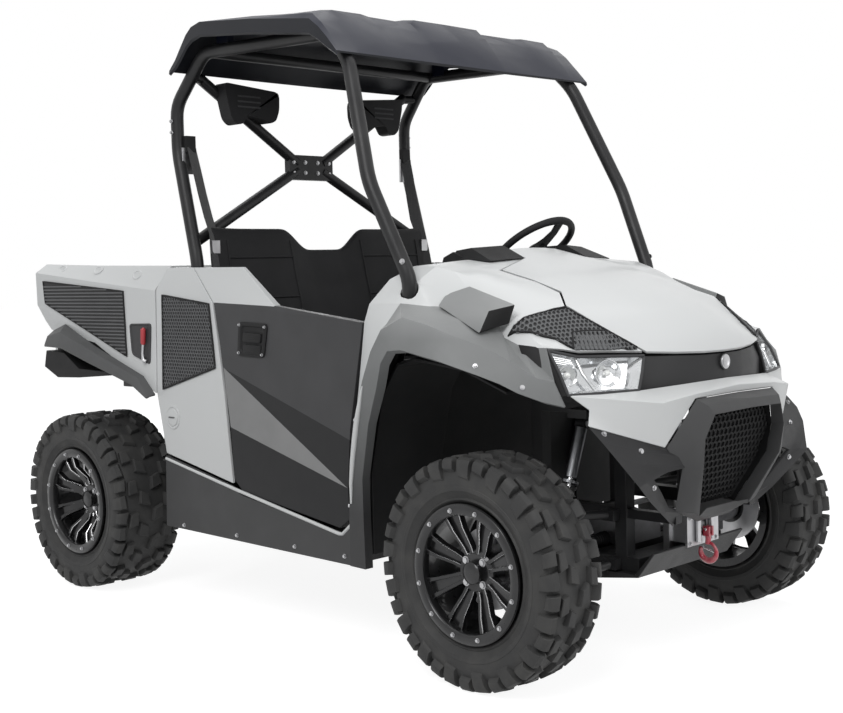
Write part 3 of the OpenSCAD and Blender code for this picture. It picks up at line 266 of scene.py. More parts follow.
class Shape:
    """Collects the solids of one piece, each face with its finish."""

    def __init__(self):
        self.points = []
        self.faces = []
        self.finishes = []
        self.face_finish = []

    def add(self, points, faces, finish):
        start = len(self.points)
        if finish not in self.finishes:
            self.finishes.append(finish)
        self.points += [Vector(p) for p in points]
        for face in faces:
            self.faces.append([start + i for i in face])
            self.face_finish.append(self.finishes.index(finish))

    def box(self, low, high, finish, turn=None):
        middle = [(a + b) / 2 for a, b in zip(low, high)]
        half = [abs(b - a) / 2 for a, b in zip(low, high)]
        corners = [Vector((sx * half[0], sy * half[1], sz * half[2]))
                   for sx in (-1, 1) for sy in (-1, 1) for sz in (-1, 1)]
        if turn:
            corners = [turn @ c for c in corners]
        self.add([c + Vector(middle) for c in corners],
                 [(0, 1, 3, 2), (4, 6, 7, 5), (0, 4, 5, 1), (2, 3, 7, 6), (0, 2, 6, 4), (1, 5, 7, 3)], finish)

    def prism(self, outline, near, far, finish, axis="y"):
        """Plate from an outline of two coordinates, between near and far on the third one."""
        def point(a, b, depth):
            return {"x": (depth, a, b), "y": (a, depth, b), "z": (a, b, depth)}[axis]
        count = len(outline)
        points = [point(a, b, near) for a, b in outline] + [point(a, b, far) for a, b in outline]
        sides = [(i, (i + 1) % count, (i + 1) % count + count, i + count) for i in range(count)]
        self.add(points, [tuple(range(count)), tuple(range(2 * count - 1, count - 1, -1)), *sides], finish)

    def grid(self, rows, finish, closed=False):
        """Skin over rows of points, closed when each row ends where it starts."""
        columns = len(rows[0])
        wrap = columns if closed else columns - 1
        faces = [(i * columns + j, i * columns + (j + 1) % columns, (i + 1) * columns + (j + 1) % columns,
                  (i + 1) * columns + j) for i in range(len(rows) - 1) for j in range(wrap)]
        self.add([p for row in rows for p in row], faces, finish)

    def tube(self, path, radius, finish, sides=12):
        """Round bar along a path; the radius may be a list with one value for each point."""
        path = [Vector(p) for p in path]
        radii = radius if isinstance(radius, list) else [radius] * len(path)
        closed = (path[0] - path[-1]).length < 1e-6
        side = None
        rings = []
        for i, p in enumerate(path):
            before = path[i - 1] if i else (path[-2] if closed else p)
            after = path[i + 1] if i < len(path) - 1 else (path[1] if closed else p)
            ahead = (after - before).normalized()
            if side is None:
                side = ahead.orthogonal().normalized()
            side = (side - ahead * side.dot(ahead)).normalized()
            up = ahead.cross(side)
            rings.append([p + radii[i] * (math.cos(a) * side + math.sin(a) * up) for a in circle(sides)])
        self.grid(rings, finish, closed=True)
        if not closed:
            self.add(rings[0], [tuple(range(sides - 1, -1, -1))], finish)
            self.add(rings[-1], [tuple(range(sides))], finish)

    def lathe(self, profile, finish, place, sides=48, closed=False):
        """Turned form from (radius, height) points; place maps (x, y, height) into the vehicle."""
        rows = [[place(r * math.cos(a), r * math.sin(a), h) for a in circle(sides)] for r, h in profile]
        if closed:
            rows.append(rows[0])
        self.grid(rows, finish, closed=True)

    def bolt(self, at, outwards, radius=0.007):
        """Hexagon bolt head on a washer."""
        at, n = Vector(at), Vector(outwards).normalized()
        u = n.orthogonal().normalized()
        v = n.cross(u)
        for r, low, high, sides in ((radius * 1.35, -0.001, 0.0012, 16), (radius, 0.0012, 0.0055, 6)):
            ring = [u * (r * math.cos(a)) + v * (r * math.sin(a)) for a in circle(sides)]
            points = [at + n * low + p for p in ring] + [at + n * high + p * 0.94 for p in ring]
            walls = [(i, (i + 1) % sides, (i + 1) % sides + sides, i + sides) for i in range(sides)]
            self.add(points, [tuple(range(sides, 2 * sides)), *walls], steel)

    def build(self, name, body, bevel=0.0, smooth=35.0, weld=True, stands_for=()):
        """Makes the piece and puts it on its body and in the place of its nodes."""
        mesh = bpy.data.meshes.new(name)
        mesh.from_pydata([tuple(p) for p in self.points], [], self.faces)
        for finish in self.finishes:
            mesh.materials.append(finish.material)
        mesh.polygons.foreach_set("material_index", self.face_finish)
        made = bpy.data.objects.new(name, mesh)
        bpy.context.scene.collection.objects.link(made)
        work = bmesh.new()
        work.from_mesh(mesh)
        if weld:
            bmesh.ops.remove_doubles(work, verts=work.verts, dist=2e-5)
        bmesh.ops.recalc_face_normals(work, faces=work.faces)
        work.to_mesh(mesh)
        work.free()
        soften(made, smooth, bevel)
        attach(made, body)
        if stands_for:
            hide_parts(*stands_for)
        return made


def soften(piece, angle, bevel):
    """Rounds the piece's edges that are sharper than an angle and shades the rest smoothly."""
    piece.data.shade_smooth()
    if bevel:
        edge = piece.modifiers.new("rounded edges", "BEVEL")
        edge.width = bevel
        edge.segments = 2
        edge.limit_method = "ANGLE"
        edge.angle_limit = math.radians(angle)
        edge.use_clamp_overlap = True
        edge.harden_normals = True
    else:
        piece.data.set_sharp_from_angle(angle=math.radians(angle))


def dress(name, finish, bevel=0.0015, angle=32.0, choose=None, others=()):
    """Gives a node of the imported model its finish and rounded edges; choose picks a finish for each face."""
    node = nodes[name]
    mesh = node.data
    mesh.materials.clear()
    for each in (finish, *others):
        mesh.materials.append(each.material)
    if "custom_normal" in mesh.attributes:
        mesh.attributes.remove(mesh.attributes["custom_normal"])
    mesh.polygons.foreach_set("material_index", [
        choose(p.center, p.normal) if choose else 0 for p in mesh.polygons])
    weld = node.modifiers.new("joined seams", "WELD")
    weld.merge_threshold = 2e-5
    soften(node, angle, bevel)


def place_wheel(name):
    """Maps (x, z, outwards) about a wheel's middle into the vehicle."""
    x, y, _ = WHEELS[name]
    out = -1 if y < 0 else 1
    return lambda a, b, h: Vector((x + a, y + out * h, TYRE_R + b))


def surface_of(*names):
    """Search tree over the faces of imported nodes."""
    points, faces = [], []
    for name in names:
        start = len(points)
        points += [v.co.copy() for v in nodes[name].data.vertices]
        faces += [[start + i for i in p.vertices] for p in nodes[name].data.polygons]
    return BVHTree.FromPolygons(points, faces)


def drop(tree, point, direction, stand_off):
    """Where a line meets a surface, lifted off it, and the surface's normal; the nearest point if it misses."""
    direction = Vector(direction).normalized()
    hit, normal, _, _ = tree.ray_cast(Vector(point) - direction * 0.25, direction)
    if hit is None:
        hit, normal, _, _ = tree.find_nearest(Vector(point))
    if normal.dot(direction) > 0:
        normal = -normal
    return hit + normal * stand_off, normal


def laid_on(tree, plane, direction, extra=0.0):
    """Maps (a, b, height) onto a surface: plane places (a, b), which is then dropped along a direction."""
    return lambda a, b, h: drop(tree, plane(a, b), direction, h + extra)[0]


def beside(hand):
    """Maps (x, z) to a plane outside one side of the body."""
    return lambda a, b: (a, hand * 0.7, b)


def facing(x, y, z, way=1):
    """Maps (a, b, height) into the vehicle for a turned form whose axis lies along x."""
    return lambda a, b, h: Vector((x + way * h, y + a, z + b))


def inside(x, y, outline):
    """Whether a point lies in a flat outline."""
    found = False
    for (x1, y1), (x2, y2) in zip(outline, outline[1:] + outline[:1]):
        if (y1 > y) != (y2 > y) and x < (x2 - x1) * (y - y1) / (y2 - y1) + x1:
            found = not found
    return found


def honeycomb(shape, outline, lift, finish, cell=0.014, wall=0.0022, depth=0.003):
    """Honeycomb sheet inside a flat outline; lift maps (a, b, height) onto the vehicle."""
    step_b = cell * math.sqrt(3) / 2
    low_a, high_a = min(a for a, _ in outline), max(a for a, _ in outline)
    low_b, high_b = min(b for _, b in outline), max(b for _, b in outline)
    for j in range(int((high_b - low_b) / step_b) + 2):
        for i in range(int((high_a - low_a) / cell) + 2):
            a = low_a + (i + 0.5 * (j % 2)) * cell
            b = low_b + j * step_b
            if not inside(a, b, outline):
                continue
            corners = [(math.sin(t), math.cos(t)) for t in circle(6)]
            outer, inner = cell / math.sqrt(3), cell / math.sqrt(3) - wall
            rings = [[lift(a + r * ca, b + r * cb, h) for ca, cb in corners]
                     for r, h in ((outer, 0.0), (outer, depth * 0.6), (inner, depth), (inner * 0.96, 0.0))]
            shape.grid(rings, finish, closed=True)


def rounded_outline(outline, reach, steps=4):
    """The outline with each corner turned into a small curve."""
    made = []
    count = len(outline)
    for i, corner in enumerate(outline):
        c = Vector(corner)
        a = c + (Vector(outline[i - 1]) - c).normalized() * reach
        b = c + (Vector(outline[(i + 1) % count]) - c).normalized() * reach
        for k in range(steps + 1):
            t = k / steps
            made.append(tuple(a * (1 - t) ** 2 + c * 2 * t * (1 - t) + b * t * t))
    return made


def shrink(outline, share):
    """The outline drawn in towards its middle."""
    middle = [sum(p[i] for p in outline) / len(outline) for i in (0, 1)]
    return [tuple(middle[i] + (p[i] - middle[i]) * share for i in (0, 1)) for p in outline]


def terrace(shape, outline, corner, layers, lift, finish):
    """Stepped form on a surface: a rounded outline at a share of its size and a height for each layer."""
    rounded = rounded_outline(outline, corner)
    shape.grid([[lift(a, b, h) for a, b in shrink(rounded, share)] for share, h in layers], finish, closed=True)


def crossings(outline, b):
    """Where a line of constant b crosses a flat outline."""
    return [a + (d - a) * (b - c) / (e - c) for (a, c), (d, e) in zip(outline, outline[1:] + outline[:1])
            if (c > b) != (e > b)]


def panel_insert(name, body, outline, panels, plane, direction, cell, ribs=False):
    """Trim panel laid on body panels: a backing sheet, a comb or ribs, and a raised border."""
    lift = laid_on(surface_of(*panels), plane, direction, 0.0022)
    shape = Shape()
    edge = []
    for (a, b), (c, d) in zip(outline, outline[1:] + outline[:1]):
        count = max(2, int(math.hypot(c - a, d - b) / 0.015))
        edge += [(a + (c - a) * k / count, b + (d - b) * k / count) for k in range(count)]
    rings = [[lift(a, b, 0.0006) for a, b in shrink(edge, 1.0 - k / 12.2)] for k in range(13)]
    shape.grid(rings, insert_black, closed=True)
    if ribs:
        low, high = min(b for _, b in outline), max(b for _, b in outline)
        for b in (low + k * cell for k in range(1, int((high - low) / cell))):
            ends = crossings(outline, b)
            if len(ends) == 2:
                line = [ends[0] + (ends[1] - ends[0]) * i / 14 for i in range(15)]
                shape.tube([lift(a, b, 0.0012) for a in line], 0.0030, insert_grey, 6)
    else:
        honeycomb(shape, shrink(outline, 0.975), lift, insert_grey, cell)
    loop = [lift(a, b, 0.0005) for a, b in edge]
    shape.tube([*loop, loop[0]], 0.0034, plastic_black, 8)
    shape.build(name, body, weld=False)

# ---- Camera, lamps and floor ----

def seen_directly(tree):
    """1 for the camera, mirror-like reflections and light through glass, and 0 for diffuse light."""
    path = tree.nodes.new("ShaderNodeLightPath")
    found = path.outputs["Is Camera Ray"]
    for kind in ("Is Glossy Ray", "Is Transmission Ray"):
        widest = tree.nodes.new("ShaderNodeMath")
        widest.operation = "MAXIMUM"
        tree.links.new(found, widest.inputs[0])
        tree.links.new(path.outputs[kind], widest.inputs[1])
        found = widest.outputs[0]
    return found


def shader_node(tree, kind, **values):
    """Shader whose sockets are set, a grey given as one number."""
    made = tree.nodes.new(kind)
    for socket, value in values.items():
        made.inputs[socket].default_value = (value, value, value, 1.0) if socket == "Color" else value
    return made


def show_two(tree, lighting, shown, output):
    """Uses one shader for diffuse light and another one for what is seen directly."""
    mixed = tree.nodes.new("ShaderNodeMixShader")
    tree.links.new(seen_directly(tree), mixed.inputs[0])
    tree.links.new(lighting.outputs[0], mixed.inputs[1])
    tree.links.new(shown.outputs[0], mixed.inputs[2])
    tree.links.new(mixed.outputs[0], tree.nodes[output].inputs["Surface"])


def set_camera(scene):
    camera = bpy.data.objects.new("camera", bpy.data.cameras.new("camera"))
    scene.collection.objects.link(camera)
    scene.camera = camera
    yaw, pitch, roll = 2.34375, -0.04132, -0.02479
    ahead = Vector((math.cos(pitch) * math.cos(yaw), math.cos(pitch) * math.sin(yaw), math.sin(pitch)))
    right = ahead.cross(Vector((0, 0, 1))).normalized()
    up = right.cross(ahead)
    turned = right * math.cos(roll) + up * math.sin(roll)
    up = up * math.cos(roll) - right * math.sin(roll)
    camera.matrix_world = Matrix.Translation((3.36499, -3.30907, 1.13486)) @ Matrix(
        [[turned[i], up[i], -ahead[i]] for i in range(3)]).to_4x4()
    camera.data.sensor_width = 36.0
    camera.data.lens = 58.07
    camera.data.shift_x = -0.0086
    camera.data.shift_y = -0.0404
    camera.data.clip_end = 200.0


def set_lamps(scene):
    aim = Vector((0, 0, 0.8))
    for name, at, size, energy in (("key softbox", (2.5, -5.0, 5.2), 3.5, 245.0),
                                   ("top softbox", (-0.4, 0.6, 6.0), 5.0, 105.0),
                                   ("nose softbox", (6.5, 0.5, 2.8), 3.0, 85.0),
                                   ("rear softbox", (-5.5, 3.5, 3.2), 3.0, 90.0)):
        lamp = bpy.data.lights.new(name, "AREA")
        lamp.size = size
        lamp.energy = energy
        made = bpy.data.objects.new(name, lamp)
        scene.collection.objects.link(made)
        made.location = at
        made.rotation_euler = (aim - Vector(at)).to_track_quat("-Z", "Y").to_euler()


def set_world(scene):
    world = bpy.data.worlds.new("studio")
    scene.world = world
    world.use_nodes = True
    tree = world.node_tree
    plain = tree.nodes["Background"]
    plain.inputs["Color"].default_value = (0.96, 0.98, 1.0, 1.0)
    plain.inputs["Strength"].default_value = 0.36
    show_two(tree, plain, shader_node(tree, "ShaderNodeBackground", Color=1.0, Strength=1.0), "World Output")


def set_floor(scene):
    """Pale floor that keeps a soft shadow where it is seen and lights the body as a grey one."""
    mesh = bpy.data.meshes.new("floor")
    mesh.from_pydata([(-40, -40, 0), (40, -40, 0), (40, 40, 0), (-40, 40, 0)], [], [(0, 1, 2, 3)])
    floor = bpy.data.objects.new("floor", mesh)
    scene.collection.objects.link(floor)
    pale = bpy.data.materials.new("pale floor")
    pale.use_nodes = True
    tree = pale.node_tree
    tree.nodes.remove(tree.nodes["Principled BSDF"])
    lit = tree.nodes.new("ShaderNodeAddShader")
    tree.links.new(shader_node(tree, "ShaderNodeBsdfDiffuse", Color=0.30).outputs[0], lit.inputs[0])
    tree.links.new(shader_node(tree, "ShaderNodeEmission", Strength=0.90).outputs[0], lit.inputs[1])
    show_two(tree, shader_node(tree, "ShaderNodeBsdfDiffuse", Color=0.60), lit, "Material Output")
    mesh.materials.append(pale)


def set_stage():
    scene = bpy.context.scene
    scene.view_settings.view_transform = "Standard"
    set_camera(scene)
    set_lamps(scene)
    set_world(scene)
    set_floor(scene)


set_stage()


# ---- Wheels ----

TREAD_PITCHES = 17
# Corners of the tread's blocks in one pitch: share of the half width, then share of the pitch.
TREAD_BLOCKS = (((0.05, 0.02), (0.36, 0.12), (0.33, 0.50), (0.09, 0.38)),
                ((0.42, 0.46), (0.70, 0.40), (0.66, 0.80), (0.44, 0.84)),
                ((0.76, 0.02), (1.42, -0.02), (1.36, 0.34), (0.80, 0.42)),
                ((0.78, 0.56), (1.18, 0.54), (1.14, 0.86), (0.74, 0.90)))


def along(stops, u):
    """Value on a line of (u, values) stops."""
    for (u0, a), (u1, b) in zip(stops, stops[1:]):
        if u <= u1:
            t = (u - u0) / (u1 - u0)
            return [p + (q - p) * t for p, q in zip(a, b)]
    return list(stops[-1][1])


def tread_ring(place, block, pitch, hand, stops, swell, sunk):
    """Ring round one tread block, spread from its middle by swell and sunk under the line of stops."""
    middle = [sum(c[i] for c in block) / 4 for i in (0, 1)]
    columns = 5 if block[1][0] > 1 else 3    # blocks that reach over the shoulder bend with it
    ring = []
    for a, b, order in ((block[0], block[1], 1), (block[3], block[2], -1)):
        row = []
        for j in range(columns):
            t = j / (columns - 1)
            u, v = (middle[i] + (a[i] + (b[i] - a[i]) * t - middle[i]) * swell for i in (0, 1))
            r, h = along(stops, max(0.012, u))
            angle = 2 * math.pi * (pitch + v) / TREAD_PITCHES
            row.append(place((r - sunk) * math.cos(angle), (r - sunk) * math.sin(angle), h * hand))
        ring += row[::order]
    return ring


def make_tyre(name):
    w = WHEELS[name][2] / 2
    place = place_wheel(name)
    shape = Shape()
    outer = [(RIM_R + r, w - h) for r, h in (
        (0.0006, 0.040), (0.010, 0.032), (0.015, 0.020), (0.021, 0.015), (0.026, 0.019), (0.044, 0.010),
        (0.046, 0.0075), (0.056, 0.006), (0.058, 0.0075))]
    outer += [(TYRE_R - r, w - h) for r, h in (
        (0.060, 0.007), (0.044, 0.011), (0.030, 0.018), (0.020, 0.034), (0.016, w * 0.5), (0.015, w))]
    inner = [(TYRE_R - 0.030, w * 0.45), (TYRE_R - 0.062, w - 0.024), (RIM_R + 0.060, w - 0.024),
             (RIM_R + 0.024, w - 0.042), (RIM_R + 0.0006, w - 0.056)]
    section = outer + [(r, -h) for r, h in outer[-2::-1]] + [(r, -h) for r, h in inner[::-1]] + inner
    shape.lathe(section, rubber, place, sides=120, closed=True)
    crown, root = ([(u, (TYRE_R - r, w - h)) for u, r, h in line] for line in (
        ((0.0, 0.0, w), (0.6, 0.0, 0.4 * w), (0.9, 0.004, 0.011), (1.0, 0.013, 0.003), (1.15, 0.028, 0.001),
         (1.45, 0.056, 0.001)),
        ((0.0, 0.017, w), (0.6, 0.019, 0.4 * w), (0.9, 0.026, 0.034), (1.0, 0.034, 0.022), (1.15, 0.042, 0.016),
         (1.45, 0.064, 0.010))))
    for k in range(TREAD_PITCHES):
        for hand, shift in ((1, 0.0), (-1, 0.5)):
            for block in TREAD_BLOCKS:
                layers = [tread_ring(place, block, k + shift, hand, *layer)
                          for layer in ((crown, 0.90, 0.0), (crown, 1.0, 0.0025), (root, 1.14, 0.0))]
                shape.grid(layers, rubber, closed=True)
                n = len(layers[0])
                shape.add(layers[0], [(i, i + 1, n - 2 - i, n - 1 - i) for i in range(n // 2 - 1)], rubber)
    shape.build("tyre_tread_" + name, "wheel_" + name, smooth=30.0,
                stands_for=["tyre_" + name])


def make_rim(name):
    w = WHEELS[name][2] / 2 - 0.016
    place = place_wheel(name)
    shape = Shape()
    barrel = [(0.166, -w - 0.006), (0.190, -w - 0.006), (0.190, -w), (RIM_R, -w), (RIM_R, w), (0.189, w),
              (0.189, w + 0.004), (0.166, w + 0.005), (0.162, w - 0.004), (0.160, w - 0.022),
              (0.168, w - 0.034), (0.168, -w + 0.014), (0.166, -w + 0.008)]
    shape.lathe(barrel, rim_black, place, sides=96, closed=True)
    ring = [(0.158, w + 0.003), (0.160, w + 0.008), (0.163, w + 0.010), (0.183, w + 0.010), (0.187, w + 0.007),
            (0.187, w + 0.003)]
    shape.lathe(ring, rim_black, place, sides=96, closed=True)
    outwards = place(0, 0, 1) - place(0, 0, 0)
    for a in circle(12, 0.5):
        shape.bolt(swung(place, a, 0.1725, 0.0, w + 0.010), outwards, 0.0052)
    hub_h, lip_h = HUB_FACE + 0.020, w - 0.010
    for base in circle(8, 0.5):
        for hand in (-1, 1):
            rows = []
            for r, off, h, half in ((0.040, 0.010, hub_h, 0.0060), (0.075, 0.013, hub_h + 0.004, 0.0055),
                                    (0.120, 0.018, lip_h - 0.006, 0.0055), (0.162, 0.0235, lip_h, 0.0070)):
                rows.append([swung(place, base, r, hand * off + across, h + down) for across, down in (
                    (-half, -0.020), (-half, -0.0022), (-half + 0.0016, 0.0),
                    (half - 0.0016, 0.0), (half, -0.0022), (half, -0.020))])
            for i in range(6):
                strip = [[row[i], row[(i + 1) % 6]] for row in rows]
                shape.grid(strip, bright if i in (1, 3) else rim_black)
        web = [[swung(place, base, r, off, h) for off in (-half, half)]
               for r, half, h in ((0.040, 0.010, hub_h - 0.010), (0.120, 0.018, lip_h - 0.018),
                                  (0.162, 0.0235, lip_h - 0.012))]
        shape.grid(web, rim_black)
    hub = [(0.0305, -0.014), (0.056, -0.014), (0.060, hub_h - 0.006), (0.050, hub_h + 0.003), (0.0305, hub_h)]
    shape.lathe(hub, rim_black, place, sides=48, closed=True)
    cap = [(0.0305, hub_h - 0.004), (0.0300, hub_h + 0.016), (0.026, hub_h + 0.020), (0.012, hub_h + 0.0215),
           (0.0004, hub_h + 0.0218)]
    shape.lathe(cap, rim_black, place, sides=40)
    for a in circle(4, 0.5):
        shape.bolt(swung(place, a, 0.042, 0.0, hub_h + 0.002), outwards, 0.0085)
    disc = [(0.050, -0.012), (0.112, -0.012), (0.112, -0.007), (0.050, -0.007)]
    shape.lathe(disc, steel, place, sides=72, closed=True)
    stem = [place(0.148, 0.0, lip_h + 0.004), place(0.142, 0.0, lip_h + 0.018),
            place(0.136, 0.0, lip_h + 0.024)]
    shape.tube(stem, 0.0038, grip_rubber, 10)
    shape.build("wheel_rim_" + name, "wheel_" + name, smooth=40.0,
                stands_for=["rim_" + name])


for wheel in WHEELS:
    make_tyre(wheel)
    make_rim(wheel)


# ---- Running gear ----

def make_shocks():
    shape = Shape()
    for x, low_y, high_z in ((FRONT_AXLE + 0.032, 0.380, 0.6737), (REAR_AXLE + 0.032, 0.350, 0.6477)):
        for hand in (-1, 1):
            a = Vector((x, hand * low_y, 0.290))
            b = Vector((x, hand * 0.225, high_z))
            d = (b - a).normalized()
            u = Vector((1, 0, 0))
            v = d.cross(u)
            shape.tube([a + d * 0.012, a + d * 0.060], 0.013, shock_grey, 20)
            shape.tube([a + d * 0.036, a + d * 0.044], 0.0265, shock_grey, 28)
            shape.tube([a + d * 0.050, b - d * 0.110], 0.0075, bright, 16)
            shape.tube([b - d * 0.160, b - d * 0.014], 0.0175, shock_grey, 24)
            shape.tube([a + d * 0.236, a + d * 0.244], 0.0265, shock_grey, 28)
            rise, turn = 0.190 / 150, 0.36    # of the coil, for each of its points
            coil = [a + d * (0.046 + rise * k) + (u * math.cos(k * turn) + v * math.sin(k * turn)) * 0.0225
                    for k in range(151)]
            shape.tube(coil, 0.0036, spring_black, 8)
            for p in (a, b):
                shape.lathe([(0.008, -0.016), (0.0155, -0.016), (0.0155, 0.016), (0.008, 0.016)], grip_rubber,
                            facing(*p), sides=24, closed=True)
                shape.tube([p - u * 0.0185, p + u * 0.0185], 0.008, steel, 12)
    shape.build("coil_over_shocks", "chassis", stands_for=["shock_absorbers"])


def make_shafts():
    shape = Shape()
    for x, end in ((FRONT_AXLE, 0.460), (REAR_AXLE, 0.4437)):
        for hand in (-1, 1):
            def place(a, b, h, x=x, hand=hand):
                return Vector((x + a, hand * h, TYRE_R + b))
            shape.tube([place(0, 0, 0.0855), place(0, 0, end)], 0.012, steel, 20)
            for start, way in ((0.0853, 1), (end, -1)):
                bellows = [(0.012, start), (0.0215, start + way * 0.002), (0.0215, start + way * 0.010)]
                for k in range(5):
                    bellows += [(0.0213 - 0.0014 * k, start + way * (0.014 + 0.009 * k)),
                                (0.0165 - 0.0008 * k, start + way * (0.0185 + 0.009 * k))]
                bellows.append((0.0125, start + way * 0.060))
                shape.lathe(bellows, grip_rubber, place, sides=32)
    shape.tube([(REAR_AXLE + 0.0805, 0, SHAFT_Z), (FRONT_AXLE - 0.0805, 0, SHAFT_Z)], 0.016, steel, 24)
    for x, way in ((REAR_AXLE + 0.082, 1), (FRONT_AXLE - 0.082, -1)):
        shape.tube([(x, 0, SHAFT_Z), (x + way * 0.03, 0, SHAFT_Z)], 0.0225, steel, 24)
    shape.build("half_shafts_with_boots", "chassis", stands_for=["drive_shafts"])


make_shocks()
make_shafts()


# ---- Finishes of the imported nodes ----

DOOR_CORNER_FOOT = 1.0305
# Outline of the door facet that gets the painted highlight.
DOOR_FACET = [(-0.215, 0.820), (0.381, 0.484), (-0.173, 0.629)]


def door_face(centre, normal):
    """Pale raised rear corner, one folded facet outside given a lighter grey as a painted highlight, and dark
    for the rest of a door.
    """
    if centre.z > DOOR_CORNER_FOOT:
        return 1
    inner_side = abs(centre.y) < SIDE - 0.022 and abs(normal.y) > 0.8
    return 2 if inside(centre.x, centre.z, DOOR_FACET) and not inner_side else 0


def roof_face(centre, normal):
    """Grey for the roof's side edges and its underside."""
    return 1 if abs(centre.y) > SIDE - 0.003 or normal.z < -0.2 else 0


def scoop_face(centre, normal):
    """Black for the scoop's open front: painted shade standing for the dark inside of the opening."""
    return int(normal.x > 0.75)


dress("flare_scoops", flare_grey, 0.0040, choose=scoop_face, others=(plastic_black,))
dress("roof", roof_blue, 0.0025, 34.0, roof_face, (roof_edge,))
for name in ("door_right", "door_left"):
    dress(name, door_dark, 0.0022, 12.0, door_face, (body_light, facet_highlight_grey))
for finish, bevel, names in (
        (body_light, 0.0025, "hood front_fenders nose_panel rear_quarters bed_side_panels tailgate"),
        (flare_grey, 0.0025, "front_flares"),
        (bed_grey, 0.0025, "bed_flares"),
        (wing_dark, 0.0030, "bumper_wings nose_garnish skid_plate"),
        (sill_dark, 0.0030, "front_bumper"),
        (sill_dark, 0.0035, "side_sills"),
        (plastic_black, 0.0020, "arch_liners bumper_mesh cowl_dash cab_floor seat_base cab_back_panel bed_tub"
                                " bed_guards"),
        (powder_black, 0.0015, "frame roll_cage rear_x_brace suspension_arms hitch_receiver steering_column"),
        (cast, 0.0020, "engine_block axle_gearcases rear_knuckles knuckle_front_right knuckle_front_left"),
        (steel, 0.0010, "muffler steering_rack winch")):
    for name in names.split():
        dress(name, finish, bevel)

# ---- Front ----

def make_grille():
    grille = Shape()
    lift = laid_on(surface_of("bumper_mesh"), lambda a, b: (1.30, a, b), (-1, 0, 0))
    outline = [(-0.176, 0.722), (0.176, 0.722), (0.214, 0.650), (0.200, 0.560), (0.128, 0.436), (-0.128, 0.436),
               (-0.200, 0.560), (-0.214, 0.650)]
    honeycomb(grille, outline, lift, plastic_black, 0.021, 0.0035, 0.005)
    rim = [(1.340, 0.0, 0.716), (1.335, 0.172, 0.712), (1.320, 0.205, 0.655), (1.305, 0.198, 0.573),
           (1.240, 0.125, 0.430), (1.230, 0.070, 0.445)]
    inner = [(1.312, 0.0, 0.724), (1.306, 0.174, 0.722), (1.298, 0.212, 0.650), (1.266, 0.198, 0.560),
             (1.220, 0.127, 0.436), (1.221, 0.070, 0.440)]
    for hand in (-1, 1):
        grille.grid([[(x, hand * y, z) for x, y, z in line] for line in (rim, inner)], plastic_black)
    grille.build("bumper_honeycomb", "chassis", weld=False)
    for side, hand in SIDES:
        outline = [(1.030, hand * 0.381), (0.956, hand * 0.530), (1.132, hand * 0.452), (1.226, hand * 0.296)]
        panel_insert("fender_mesh_" + side, "chassis", outline, ["front_fenders"],
                     lambda a, b: (a, b, 1.0), (0, 0, -1), 0.0125)


def lamp_face(hand):
    """Maps (s, t, depth) onto a headlamp: s runs outwards and t downwards, each 0 to 1, depth backwards."""
    rows = [[Vector((x, hand * y, z)) for x, y, z in row] for row in (
        ((1.226, 0.291, 0.880), (1.125, 0.448, 0.884), (1.088, 0.528, 0.904)),
        ((1.231, 0.308, 0.836), (1.162, 0.450, 0.838), (1.128, 0.534, 0.850)),
        ((1.232, 0.325, 0.790), (1.193, 0.450, 0.790), (1.158, 0.534, 0.790)))]

    def at(s, t, depth=0.0):
        i, j = min(int(s * 2), 1), min(int(t * 2), 1)
        across = [row[i].lerp(row[i + 1], s * 2 - i) for row in rows]
        return across[j].lerp(across[j + 1], t * 2 - j) + Vector((-depth, 0, 0))
    return at


